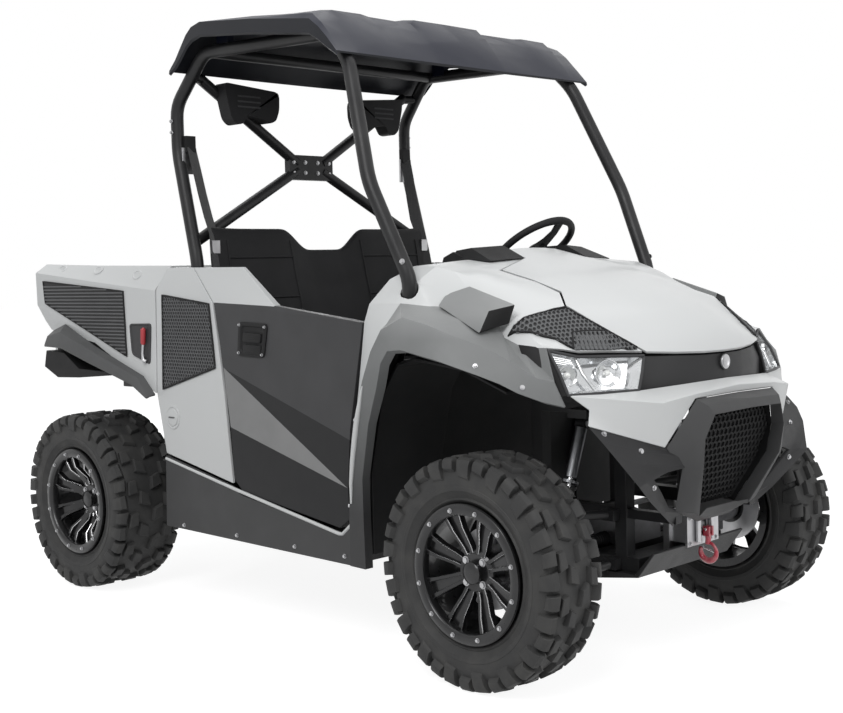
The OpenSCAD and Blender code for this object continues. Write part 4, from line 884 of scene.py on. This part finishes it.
def make_headlamp(side, hand):
    at = lamp_face(hand)
    steps = [k / 14 for k in range(15)]
    face = Shape()
    face.grid([[at(s, t, 0.001 - 0.006 * math.sin(math.pi * s) * math.sin(math.pi * t)) for s in steps]
               for t in steps], lens)
    face.build("headlamp_lens_" + side, "chassis", smooth=60.0, weld=False)

    housing = Shape()
    loop = ([at(s, 0.0) for s in steps] + [at(1.0, t) for t in steps[1:]] +
            [at(s, 1.0) for s in steps[-2::-1]] + [at(0.0, t) for t in steps[-2:0:-1]])
    back = ([at(0.04 + 0.92 * s, 0.05, 0.036) for s in steps] + [at(0.96, t, 0.036) for t in steps[1:]] +
            [at(0.04 + 0.92 * s, 0.95, 0.036) for s in steps[-2::-1]] +
            [at(0.04, t, 0.036) for t in steps[-2:0:-1]])
    housing.grid([loop, back], chrome, closed=True)
    housing.grid([[at(0.04 + 0.92 * s, 0.05 + 0.9 * t, 0.034 + 0.002 * ((i + j) % 2))
                   for i, s in enumerate(steps)] for j, t in enumerate(steps)], chrome)
    forwards = Vector((0.001, 0, 0))
    housing.tube([p + forwards for p in (*loop, loop[0])], 0.0042, panel_dark, 8)
    outwards = Vector((0.86, hand * 0.50, 0)).normalized()
    u = outwards.orthogonal().normalized()
    v = outwards.cross(u)
    for s, t, r in ((0.26, 0.50, 0.034), (0.76, 0.56, 0.026)):
        centre = at(s, t, 0.022)

        def bowl(a, b, h, centre=centre):
            return centre + u * a + v * b + outwards * h
        housing.lathe([(0.0005, -0.016), (r * 0.5, -0.013), (r * 0.8, -0.006), (r, 0.004),
                       (r + 0.003, 0.005), (r + 0.003, -0.004)], chrome, bowl, sides=32)
        housing.lathe([(0.0004, 0.006), (0.005, 0.005), (0.008, 0.001), (0.008, -0.012)], bulb, bowl, sides=20)
    housing.tube([at(0.50, 0.04, 0.012), at(0.56, 0.5, 0.008), at(0.48, 0.96, 0.012)], 0.005, chrome, 8)
    for k in range(4):
        t = 0.05 * k
        housing.tube([at(0.58, 0.14 + t, 0.018), at(0.94, 0.12 + t, 0.018)], 0.0022, chrome, 6)
    housing.build("headlamp_reflector_" + side, "chassis", smooth=50.0, weld=False,
                  stands_for=["headlights"])

    heart = sum(loop, Vector()) / len(loop)
    collar = Shape()
    collar.grid([[p + Vector((0, p.y - heart.y, p.z - heart.z)).normalized() * reach - Vector((depth, 0, 0))
                  for p in loop]
                 for reach, depth in ((0.0, 0.003), (0.010, 0.018), (0.024, 0.042), (0.030, 0.080))],
                plastic_black, closed=True)
    collar.build("headlamp_collar_" + side, "chassis", weld=False)

    def behind(s, t):
        """Point of the backing, which runs on past both ends of the lamp and turns back at the outer one."""
        inner, outer = min(s, 0.0), max(s - 1.0, 0.0)
        return at(min(max(s, 0.0), 1.0), t, 0.046) + Vector((-0.12 * outer, hand * 0.16 * (inner + outer), 0))

    backing = Shape()
    backing.grid([[behind(s, t) for s in (-0.10, 0.0, 0.25, 0.5, 0.75, 1.0, 1.12)]
                  for t in (0.0, 0.25, 0.5, 0.75, 1.0)], plastic_black)
    backing.build("headlamp_backing_" + side, "chassis", weld=False)


def make_nose():
    strip = Shape()
    line = [(-0.280, 1.199), (-0.200, 1.236), (-0.100, 1.260), (0.0, 1.267), (0.100, 1.260), (0.200, 1.236),
            (0.280, 1.199)]
    strip.grid([[(x - 0.004 * k, y, z) for y, x in line] for k, z in enumerate((0.800, 0.850, 0.892))],
               plastic_black)
    strip.build("nose_inner_strip", "chassis", weld=False)
    roundel = Shape()
    roundel.lathe([(0.0004, 0.0015), (0.014, 0.0012), (0.016, 0.0032), (0.0205, 0.0036), (0.0215, 0.0),
                   (0.0215, -0.002)], steel, facing(FRONT_AXLE + 0.3665, 0, 0.847), sides=40)
    roundel.build("nose_roundel", "chassis", smooth=50.0)


def make_front_bolts():
    flares, wings = surface_of("front_flares"), surface_of("bumper_wings")
    shape = Shape()
    for hand in (-1, 1):
        for x, y, z in ((1.085, 0.80, 0.815), (0.98, 0.90, 0.872), (0.45, 0.90, 0.600), (0.43, 0.90, 0.440),
                        (0.50, 0.90, 0.700)):
            shape.bolt(*drop(flares, (x, hand * y, z), (0, -hand, 0), 0.0), 0.0055)
        for y, z in ((0.470, 0.686), (0.385, 0.636), (0.350, 0.536)):
            shape.bolt(*drop(wings, (1.40, hand * y, z), (-1, 0, 0), 0.0), 0.0060)
    shape.build("front_panel_bolts", "chassis", smooth=30.0)


def make_winch_fittings():
    """Hook with its shackle and safety catch, the end of the rope, and the fairlead's bolts."""
    hook = Shape()
    x, z = 1.232, 0.300
    arc = [Vector((x + 0.026 * math.sin(a), 0, z - 0.026 * math.cos(a)))
           for a in (math.radians(-115 + 290 * k / 24) for k in range(25))]
    thickness = [0.0045 + 0.0045 * math.sin(math.pi * min(1.0, (k + 2) / 22)) for k in range(25)]
    hook.tube(arc, thickness, hook_red, 14)
    hook.tube([(x - 0.002, 0, 0.322), (x, 0, 0.335), (x, 0, 0.352)], 0.0085, hook_red, 14)
    for low, high in ((-0.0125, -0.0055), (0.0055, 0.0125)):
        hook.box((x - 0.011, low, 0.346), (x + 0.011, high, 0.374), hook_red)
    hook.tube([(x, -0.016, 0.366), (x, 0.016, 0.366)], 0.0045, bright, 12)
    hook.tube([(x - 0.020, 0, 0.312), (x + 0.022, 0, 0.300)], 0.0032, bright, 10)
    hook.build("winch_hook_red", "chassis", bevel=0.0012, smooth=40.0, stands_for=["winch_hook"])
    rope = Shape()
    rope.tube([(x - 0.072, 0, 0.364), (x - 0.030, 0, 0.362), (x - 0.006, 0, 0.364)], 0.0040, rope_grey, 12)
    rope.build("winch_rope_end", "chassis", smooth=60.0)
    fairlead = Shape()
    for hand in (-1, 1):
        for z in (0.330, 0.404):
            fairlead.bolt((1.2158, hand * 0.066, z), (1, 0, 0), 0.0055)
    fairlead.build("fairlead_bolts", "chassis", smooth=30.0)


make_grille()
for side, hand in SIDES:
    make_headlamp(side, hand)
make_nose()
make_front_bolts()
make_winch_fittings()


# ---- Sides ----

def make_latch(side, hand):
    """Door latch: a rounded plate with a dished middle, a paddle across it and four screws."""
    shape = Shape()
    lift = laid_on(surface_of("door_" + side), beside(hand), (0, -hand, 0))
    plate = [(-0.125, 0.972), (0.024, 0.966), (0.006, 0.858), (-0.133, 0.862)]
    terrace(shape, plate, 0.018, ((1.0, -0.001), (1.0, 0.004), (0.96, 0.0055), (0.80, 0.0055), (0.74, 0.0010),
                                  (0.40, 0.0006), (0.02, 0.0006)), lift, plastic_black)
    paddle = [(-0.100, 0.938), (-0.006, 0.934), (-0.010, 0.905), (-0.103, 0.908)]
    for outline in (paddle, [(a + 0.001, b - 0.038) for a, b in paddle]):
        terrace(shape, outline, 0.006, ((1.0, 0.0008), (0.97, 0.0065), (0.80, 0.0080), (0.02, 0.0080)), lift,
                plastic_black)
    for a, b in ((-0.118, 0.962), (0.012, 0.956), (-0.002, 0.868), (-0.122, 0.872)):
        shape.bolt(lift(a, b, 0.0055), (0, hand, 0), 0.0038)
    shape.build("door_latch_" + side, "door_" + side, smooth=40.0, weld=False)


def make_cap(side, hand):
    """Round filler cover in a dished rim on the rear quarter."""
    shape = Shape()
    at, normal = drop(surface_of("rear_quarters"), (-0.505, hand * 0.7, 0.640), (0, -hand, 0), 0.0)
    u = Vector((1, 0, 0)).cross(normal).normalized()
    v = normal.cross(u)
    shape.lathe([(0.041, -0.0015), (0.040, 0.0030), (0.036, 0.0036), (0.033, 0.0012), (0.030, 0.0012),
                 (0.029, 0.0045), (0.020, 0.0058), (0.0004, 0.0060)], body_light,
                lambda a, b, h: at + u * a + v * b + normal * h, sides=44)
    shape.tube([at + v * reach + normal * 0.0062 for reach in (-0.016, 0.016)], 0.0024, flare_grey, 10)
    shape.build("filler_cover_" + side, "chassis", smooth=40.0)


def make_bed_latch(side, hand):
    """Dished recess in the bed's side with its release lever and grip."""
    shape = Shape()
    lift = laid_on(surface_of("bed_side_panels"), beside(hand), (0, -hand, 0))
    terrace(shape, [(-0.758, 0.958), (-0.626, 0.960), (-0.636, 0.815), (-0.745, 0.848)], 0.014,
            ((1.0, -0.0005), (0.98, 0.0035), (0.92, 0.0035), (0.88, 0.0006), (0.5, 0.0004), (0.02, 0.0004)),
            lift, panel_dark)
    shape.tube([lift(-0.664, 0.890, 0.010), lift(-0.667, 0.855, 0.011), lift(-0.668, 0.832, 0.008),
                lift(-0.655, 0.826, 0.003)], [0.0055, 0.0050, 0.0075, 0.0080], steel, 14)
    shape.tube([lift(-0.661, 0.944, 0.008), lift(-0.662, 0.938, 0.011), lift(-0.664, 0.892, 0.011),
                lift(-0.664, 0.886, 0.009)], [0.004, 0.0095, 0.0090, 0.006], lever_red, 16)
    shape.build("bed_release_" + side, "bed", smooth=40.0, weld=False)


def make_sill_edge(side, hand):
    step = Shape()
    line = [(-0.545, 0.501), (-0.160, 0.430), (0.335, 0.3455), (0.352, 0.3465), (0.392, 0.379)]
    step.tube([(a, hand * (SIDE + 0.010), b - 0.005) for a, b in line], 0.0058, body_light, 10)
    for a in (-0.45, -0.16, 0.13, 0.36):
        step.bolt((a, hand * (SIDE + 0.012), 0.276), (0, hand, 0), 0.0055)
    step.build("sill_edge_" + side, "chassis", smooth=40.0)


def make_fender_edge(side, hand):
    """Pale lip that shows along the rear of the front flare."""
    flare = surface_of("front_flares")
    strip = Shape()
    path = [drop(flare, (a, hand * 0.9, b), (0, -hand, 0), 0.001)[0]
            for a, b in ((0.447, 0.450), (0.452, 0.510), (0.469, 0.580), (0.487, 0.640), (0.503, 0.690),
                         (0.522, 0.740), (0.545, 0.800))]
    strip.tube(path, [0.003, 0.006, 0.008, 0.009, 0.009, 0.007, 0.002], body_light, 10)
    strip.build("fender_edge_" + side, "chassis", smooth=50.0)


def make_bed_cleats(side, hand):
    """Oval tie-down covers on top of the bed's side."""
    panels = surface_of("bed_side_panels")
    cleats = Shape()
    u = Vector((1.5, 0, 0))
    for x in (-1.24, -0.99, -0.74):
        at, normal = drop(panels, (x, hand * 0.575, 1.3), (0, 0, -1), 0.0)
        v = normal.cross(u).normalized()
        cleats.lathe([(0.019, -0.001), (0.018, 0.0025), (0.013, 0.0030), (0.011, 0.0006), (0.0004, 0.0004)],
                     body_light,
                     lambda a, b, h, at=at, v=v, normal=normal: at + u * a + v * b + normal * h, sides=32)
    cleats.build("bed_cleats_" + side, "bed", smooth=40.0)


for side, hand in SIDES:
    make_latch(side, hand)
    make_cap(side, hand)
    make_bed_latch(side, hand)
    panel_insert("quarter_mesh_" + side, "chassis",
                 [(-0.553, 1.058), (-0.288, 1.028), (-0.258, 0.818), (-0.556, 0.735)],
                 ["rear_quarters"], beside(hand), (0, -hand, 0), 0.0135)
    panel_insert("bed_mesh_" + side, "bed",
                 [(-1.318, 1.112), (-0.790, 1.072), (-0.778, 0.842), (-1.310, 1.030)],
                 ["bed_side_panels"], beside(hand), (0, -hand, 0), 0.0125, ribs=True)
    make_sill_edge(side, hand)
    make_fender_edge(side, hand)
    make_bed_cleats(side, hand)


# ---- Cab ----

def pad(name, outline, near, far, node, cap, floor=None, notch=None, voxel=0.008):
    """Stuffed pad from its side outline, swollen by a cloth simulation."""
    shape = Shape()
    shape.prism(rounded_outline(outline, 0.022, 3), near, far, vinyl)
    made = shape.build(name, "chassis", smooth=60.0)
    even = made.modifiers.new("even mesh", "REMESH")
    even.mode = "VOXEL"
    even.voxel_size = voxel
    even.use_smooth_shade = True
    graph = bpy.context.evaluated_depsgraph_get()
    mesh = bpy.data.meshes.new_from_object(made.evaluated_get(graph))
    made.modifiers.clear()
    made.data = mesh
    if notch:
        for v in mesh.vertices:
            v.co.z = notch(v.co)
    rest = [v.co.copy() for v in mesh.vertices]
    cloth = made.modifiers.new("stuffing", "CLOTH")
    cloth.settings.quality = 4
    cloth.settings.use_pressure = True
    cloth.settings.uniform_pressure_force = 4.0
    cloth.settings.effector_weights.gravity = 0.0
    scene = bpy.context.scene
    for step in range(1, 21):
        scene.frame_set(step)
    swollen = made.evaluated_get(bpy.context.evaluated_depsgraph_get())
    moved = [v.co.copy() for v in swollen.data.vertices]
    made.modifiers.clear()
    scene.frame_set(1)
    for v, start, end in zip(mesh.vertices, rest, moved):
        step = end - start
        if step.length > cap:
            step *= cap / step.length
        v.co = start + step
    if floor is not None:
        for v in mesh.vertices:
            v.co.z = max(v.co.z, floor)
    mesh.materials.clear()
    mesh.materials.append(vinyl.material)
    mesh.shade_smooth()
    smooth = made.modifiers.new("even skin", "SMOOTH")
    smooth.factor = 0.5
    smooth.iterations = 4
    finer = made.modifiers.new("finer skin", "SUBSURF")
    finer.levels = 1
    finer.render_levels = 1
    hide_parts(node)
    return made


def seam(name, target, lines):
    """Piping laid on a pad along lines of (points, direction towards the pad)."""
    graph = bpy.context.evaluated_depsgraph_get()
    tree = BVHTree.FromObject(target.evaluated_get(graph), graph)
    shape = Shape()
    for points, direction in lines:
        shape.tube([drop(tree, p, direction, 0.0010)[0] for p in points], 0.0030, vinyl, 8)
    shape.build(name, "chassis", smooth=60.0)


def row_of(start, end, count):
    return [Vector(start).lerp(Vector(end), k / (count - 1)) for k in range(count)]


def bench_top(p):
    """Height of a point of the bench's back, lowered in the middle between the two raised backs."""
    t = min(max((abs(p.y) - 0.070) / 0.130, 0.0), 1.0)
    top = 0.78 + 0.22 * t * t * (3 - 2 * t)
    return p.z if p.z < 0.95 else 0.95 + (p.z - 0.95) * top


def make_seats():
    base = [(SEAM + x, z) for x, z in ((0.262, 0.6165), (0.722, 0.6165), (0.738, 0.642), (0.726, 0.690),
                                       (0.688, 0.705), (0.400, 0.682), (0.300, 0.680), (0.260, 0.672))]
    back = [(SEAM + x, z) for x, z in ((0.246, 0.712), (0.342, 0.722), (0.240, 1.120), (0.216, 1.280),
                                       (0.206, 1.294), (0.198, 1.288), (0.194, 1.240))]
    down, backwards = (0, 0, -1), (-1, 0, 0)
    above, ahead = 0.9, 0.3      # where the lines of piping are dropped from
    back_lines = []
    for side, hand in SIDES:
        cushion = pad("seat_cushion_" + side, base, hand * 0.076, hand * 0.520, "seat_cushions", 0.012,
                      0.6104)
        lines = [(row_of((SEAM + 0.30, hand * y, above), (SEAM + 0.70, hand * y, above), 24), down)
                 for y in (0.135, 0.460)]
        lines += [(row_of((SEAM + x, hand * 0.135, above), (SEAM + x, hand * 0.460, above), 20), down)
                  for x in (0.42, 0.54, 0.66)]
        seam("cushion_piping_" + side, cushion, lines)
        back_lines += [(row_of((ahead, hand * y, 0.76), (ahead, hand * y, 1.24), 24), backwards)
                       for y in (0.170, 0.455)]
        back_lines += [(row_of((ahead, hand * 0.170, z), (ahead, hand * 0.455, z), 18), backwards)
                       for z in (0.90, 1.04, 1.18)]
    rest = pad("seat_back_bench", back, -0.522, 0.522, "seat_backs", 0.010, None, bench_top, 0.011)
    seam("back_piping", rest, back_lines)


def make_headrests():
    outline = [(0.200, 1.764), (0.426, 1.782), (0.424, 1.745), (0.402, 1.660), (0.378, 1.640), (0.350, 1.645),
               (0.330, 1.678), (0.275, 1.668), (0.235, 1.650), (0.205, 1.662), (0.190, 1.700), (0.188, 1.750)]
    for side, hand in SIDES:
        shape = Shape()
        for z in (1.700, 1.718, 1.736):
            shape.box((-0.3945, hand * 0.275, z), (-0.3905, hand * 0.375, z + 0.006), panel_dark)
        shape.prism([(hand * a, b) for a, b in rounded_outline(outline, 0.012, 3)], -0.450, -0.392, vinyl,
                    axis="x")
        shape.build("head_restraint_" + side, "chassis", bevel=0.009, smooth=40.0,
                    stands_for=["headrests"])


def make_steering_wheel():
    tilt = math.atan2(0.145, 0.200)
    turn = Matrix.Rotation(-tilt, 3, "Y")
    hub = Vector((0.370, 0.285, 1.191))

    def place(a, b, h):
        return hub + turn @ Vector((a, b, h))

    shape = Shape()
    turns = [*circle(72), 0.0]
    swell = [0.0120 + 0.0012 * max(0.0, math.cos(3 * a)) for a in turns]
    shape.tube([swung(place, a, 0.147, 0.0, 0.0) for a in turns], swell, grip_rubber, 20)
    for a in circle(3):
        shape.grid([[swung(place, a, r, side, h)
                     for side, h in ((-half, low), (-half * 0.8, high), (half * 0.8, high), (half, low))]
                    for r, half, high, low in ((0.020, 0.026, -0.004, -0.020), (0.060, 0.017, -0.008, -0.022),
                                               (0.100, 0.013, -0.008, -0.020), (0.140, 0.015, 0.002, -0.009))],
                   plastic_black, closed=True)
    shape.lathe([(0.0004, 0.002), (0.024, 0.0), (0.036, -0.008), (0.042, -0.020), (0.040, -0.044),
                 (0.0004, -0.046)], plastic_black, place, sides=48)
    shape.build("steering_wheel_rim", "steering_wheel", smooth=40.0,
                stands_for=["steering_wheel"])


def make_dash():
    """Instrument screen, switches, shift lever and pedals."""
    slope = math.atan2(0.03, 0.08)
    turn = Matrix.Rotation(-slope, 3, "Y")
    shape = Shape()
    shape.box((0.465, -0.085, 1.090), (0.477, 0.085, 1.152), plastic_black, turn)
    shape.box((0.4625, -0.075, 1.097), (0.470, 0.075, 1.145), screen, turn)
    for k in range(4):
        y = -0.20 + 0.036 * k
        shape.box((0.466, y, 1.106), (0.476, y + 0.026, 1.142), panel_dark, turn)
        shape.box((0.4635, y + 0.004, 1.110), (0.470, y + 0.022, 1.126), grip_rubber, turn)
    shape.lathe([(0.0004, 0.010), (0.009, 0.009), (0.011, 0.0), (0.013, -0.002)], steel,
                facing(0.4655, 0.135, 1.120, -1), sides=24)
    shape.build("dash_instruments", "chassis", bevel=0.0015)
    lever = Shape()
    lever.tube([(0.490, 0.075, 1.020), (0.448, 0.078, 1.045), (0.418, 0.080, 1.085)], 0.0065, steel, 14)
    lever.lathe([(0.0004, 0.030), (0.012, 0.027), (0.019, 0.014), (0.018, -0.004), (0.009, -0.016),
                 (0.0068, -0.020)], grip_rubber,
                lambda a, b, h: Vector((0.410 - 0.4 * h + a, 0.080 + b, 1.094 + h)), sides=28)
    lever.box((0.476, 0.045, 0.985), (0.492, 0.110, 1.050), panel_dark)
    lever.build("shift_lever", "chassis", bevel=0.001, smooth=40.0)
    pedals = Shape()
    for y, half, low in ((0.200, 0.026, 0.395), (0.330, 0.038, 0.440)):
        pedals.box((0.420, y - half, low), (0.432, y + half, low + 0.075), grip_rubber,
                   Matrix.Rotation(math.radians(24), 3, "Y"))
        pedals.tube([(0.432, y, low + 0.045), (0.462, y, low + 0.12), (0.474, y, low + 0.20)], 0.007, steel, 12)
    pedals.build("pedals", "chassis", bevel=0.0015, smooth=40.0)


def strap(shape, path, width, across, thickness=0.0016):
    """Flat webbing along a path, its width along one direction."""
    path = [Vector(p) for p in path]
    rows = []
    for i, p in enumerate(path):
        ahead = (path[min(i + 1, len(path) - 1)] - path[max(i - 1, 0)]).normalized()
        wide = Vector(across)
        wide = (wide - ahead * wide.dot(ahead)).normalized()
        n = ahead.cross(wide)
        rows.append([p + wide * a * width / 2 + n * b * thickness
                     for a, b in ((-1, -0.5), (1, -0.5), (1, 0.5), (-1, 0.5))])
    shape.grid(rows, webbing, closed=True)


def make_belts():
    for side, hand in SIDES:
        def at(x, y, z, hand=hand):
            return x, hand * y, z
        shape = Shape()
        shape.box(at(-0.492, 0.500, 1.545), at(-0.470, 0.540, 1.600), plastic_black)
        shape.box(at(-0.486, 0.492, 1.470), at(-0.478, 0.552, 1.560), steel)
        strap(shape, [at(-0.474, 0.516, 1.560), at(-0.452, 0.512, 1.480), at(-0.434, 0.506, 1.400),
                      at(-0.412, 0.500, 1.320), at(-0.384, 0.500, 1.260), at(-0.366, 0.505, 1.180),
                      at(-0.345, 0.515, 1.040), at(-0.322, 0.525, 0.880), at(-0.318, 0.530, 0.740)],
              0.046, at(0.25, 1.0, 0))
        shape.box(at(-0.335, 0.516, 0.690), at(-0.300, 0.540, 0.745), plastic_black)
        shape.box(at(-0.378, 0.488, 1.196), at(-0.366, 0.520, 1.240), steel)
        shape.build("seat_belt_" + side, "chassis", bevel=0.0008, smooth=50.0)
        buckle = Shape()
        strap(buckle, [at(-0.300, 0.048, 0.640), at(-0.270, 0.052, 0.700), at(-0.255, 0.054, 0.740)],
              0.030, at(0.5, 1.0, 0))
        buckle.box(at(-0.272, 0.040, 0.735), at(-0.238, 0.066, 0.800), plastic_black)
        buckle.box(at(-0.264, 0.044, 0.799), at(-0.246, 0.062, 0.803), lever_red)
        buckle.build("belt_buckle_" + side, "chassis", bevel=0.0015, smooth=50.0)


def make_cage_details():
    shape = Shape()
    for hand in (-1, 1):
        shape.bolt((0.626, hand * 0.6035, 1.150), (0.2, hand * 0.98, 0.1), 0.0065)
        for z in (1.488, 1.526):
            for y in (0.030, 0.085):
                shape.bolt((BRACE_FRONT, hand * y, z), (1, 0, 0), 0.0060)
        for z in (1.612, 1.650):
            shape.bolt((-0.508, hand * 0.5715, z), (0, hand, 0), 0.0055)
    shape.build("cage_bolts", "chassis", smooth=30.0)


make_seats()
make_headrests()
make_steering_wheel()
make_dash()
make_belts()
make_cage_details()


# ---- Rear ----

def make_tail_lamp(side, hand):
    lamp = Shape()
    lamp.box((-1.3795, hand * 0.584, 1.028), (-1.3755, hand * 0.604, 1.126), plastic_black)
    for k in range(5):
        z = 1.033 + 0.018 * k
        lamp.box((-1.3835, hand * 0.5865, z), (-1.3780, hand * 0.6015, z + 0.0155), lamp_red)
    lamp.build("tail_lamp_" + side, "bed", bevel=0.0015, smooth=40.0, stands_for=["tail_lamps"])


def rectangle(low_a, high_a, low_b, high_b):
    return [(low_a, low_b), (high_a, low_b), (high_a, high_b), (low_a, high_b)]


def make_tailgate_details():
    gate = Shape()
    for y in (-0.34, 0.0, 0.34):
        outline = rounded_outline(rectangle(y - 0.13, y + 0.13, 0.85, 1.08), 0.02)
        gate.prism(outline, -1.3845, -1.3795, body_light, axis="x")
    gate.build("tailgate_ribs", "tailgate", bevel=0.002, smooth=40.0)
    handle = Shape()
    handle.prism(rounded_outline(rectangle(-0.09, 0.09, 1.098, 1.146), 0.012), -1.3835, -1.3795, plastic_black,
                 axis="x")
    handle.tube([(-1.384, -0.066, 1.122), (-1.391, -0.056, 1.122), (-1.391, 0.056, 1.122),
                 (-1.384, 0.066, 1.122)], 0.0055, plastic_black, 12)
    for hand in (-1, 1):
        for z in (1.10, 0.85):
            handle.bolt((-1.3805, hand * 0.50, z), (-1, 0, 0), 0.0075)
    handle.build("tailgate_handle", "tailgate", bevel=0.001, smooth=40.0)


def make_bed_ribs():
    ribs = Shape()
    for k in range(9):
        y = -0.44 + 0.11 * k
        ribs.prism(rectangle(-1.335, -0.640, 0.8055, 0.8105), y - 0.016, y + 0.016, plastic_black)
    for hand in (-1, 1):
        for x in (-1.22, -1.04, -0.86, -0.70):
            ribs.prism(rectangle(x - 0.02, x + 0.02, 0.84, 1.13), hand * 0.5305, hand * 0.5255, plastic_black)
    ribs.build("bed_liner_ribs", "bed", bevel=0.002, smooth=40.0)


def make_muffler_bands():
    tail = Shape()
    y, z = -0.115, 0.560      # axis of the muffler
    tail.lathe([(0.055, 0.0), (0.0565, 0.004), (0.0565, 0.014), (0.054, 0.016)], steel, facing(-1.197, y, z),
               sides=48)
    tail.lathe([(0.014, -0.002), (0.0195, -0.002), (0.0195, 0.010), (0.018, 0.012)], steel,
               facing(-1.241, y, z - 0.015), sides=32)
    for x in (-1.08, -0.92):
        tail.lathe([(0.0552, -0.009), (0.0570, -0.008), (0.0570, 0.008), (0.0552, 0.009)], cast,
                   facing(x, y, z), sides=48)
    tail.build("muffler_bands", "chassis", smooth=40.0)


for side, hand in SIDES:
    make_tail_lamp(side, hand)
make_tailgate_details()
make_bed_ribs()
make_muffler_bands()
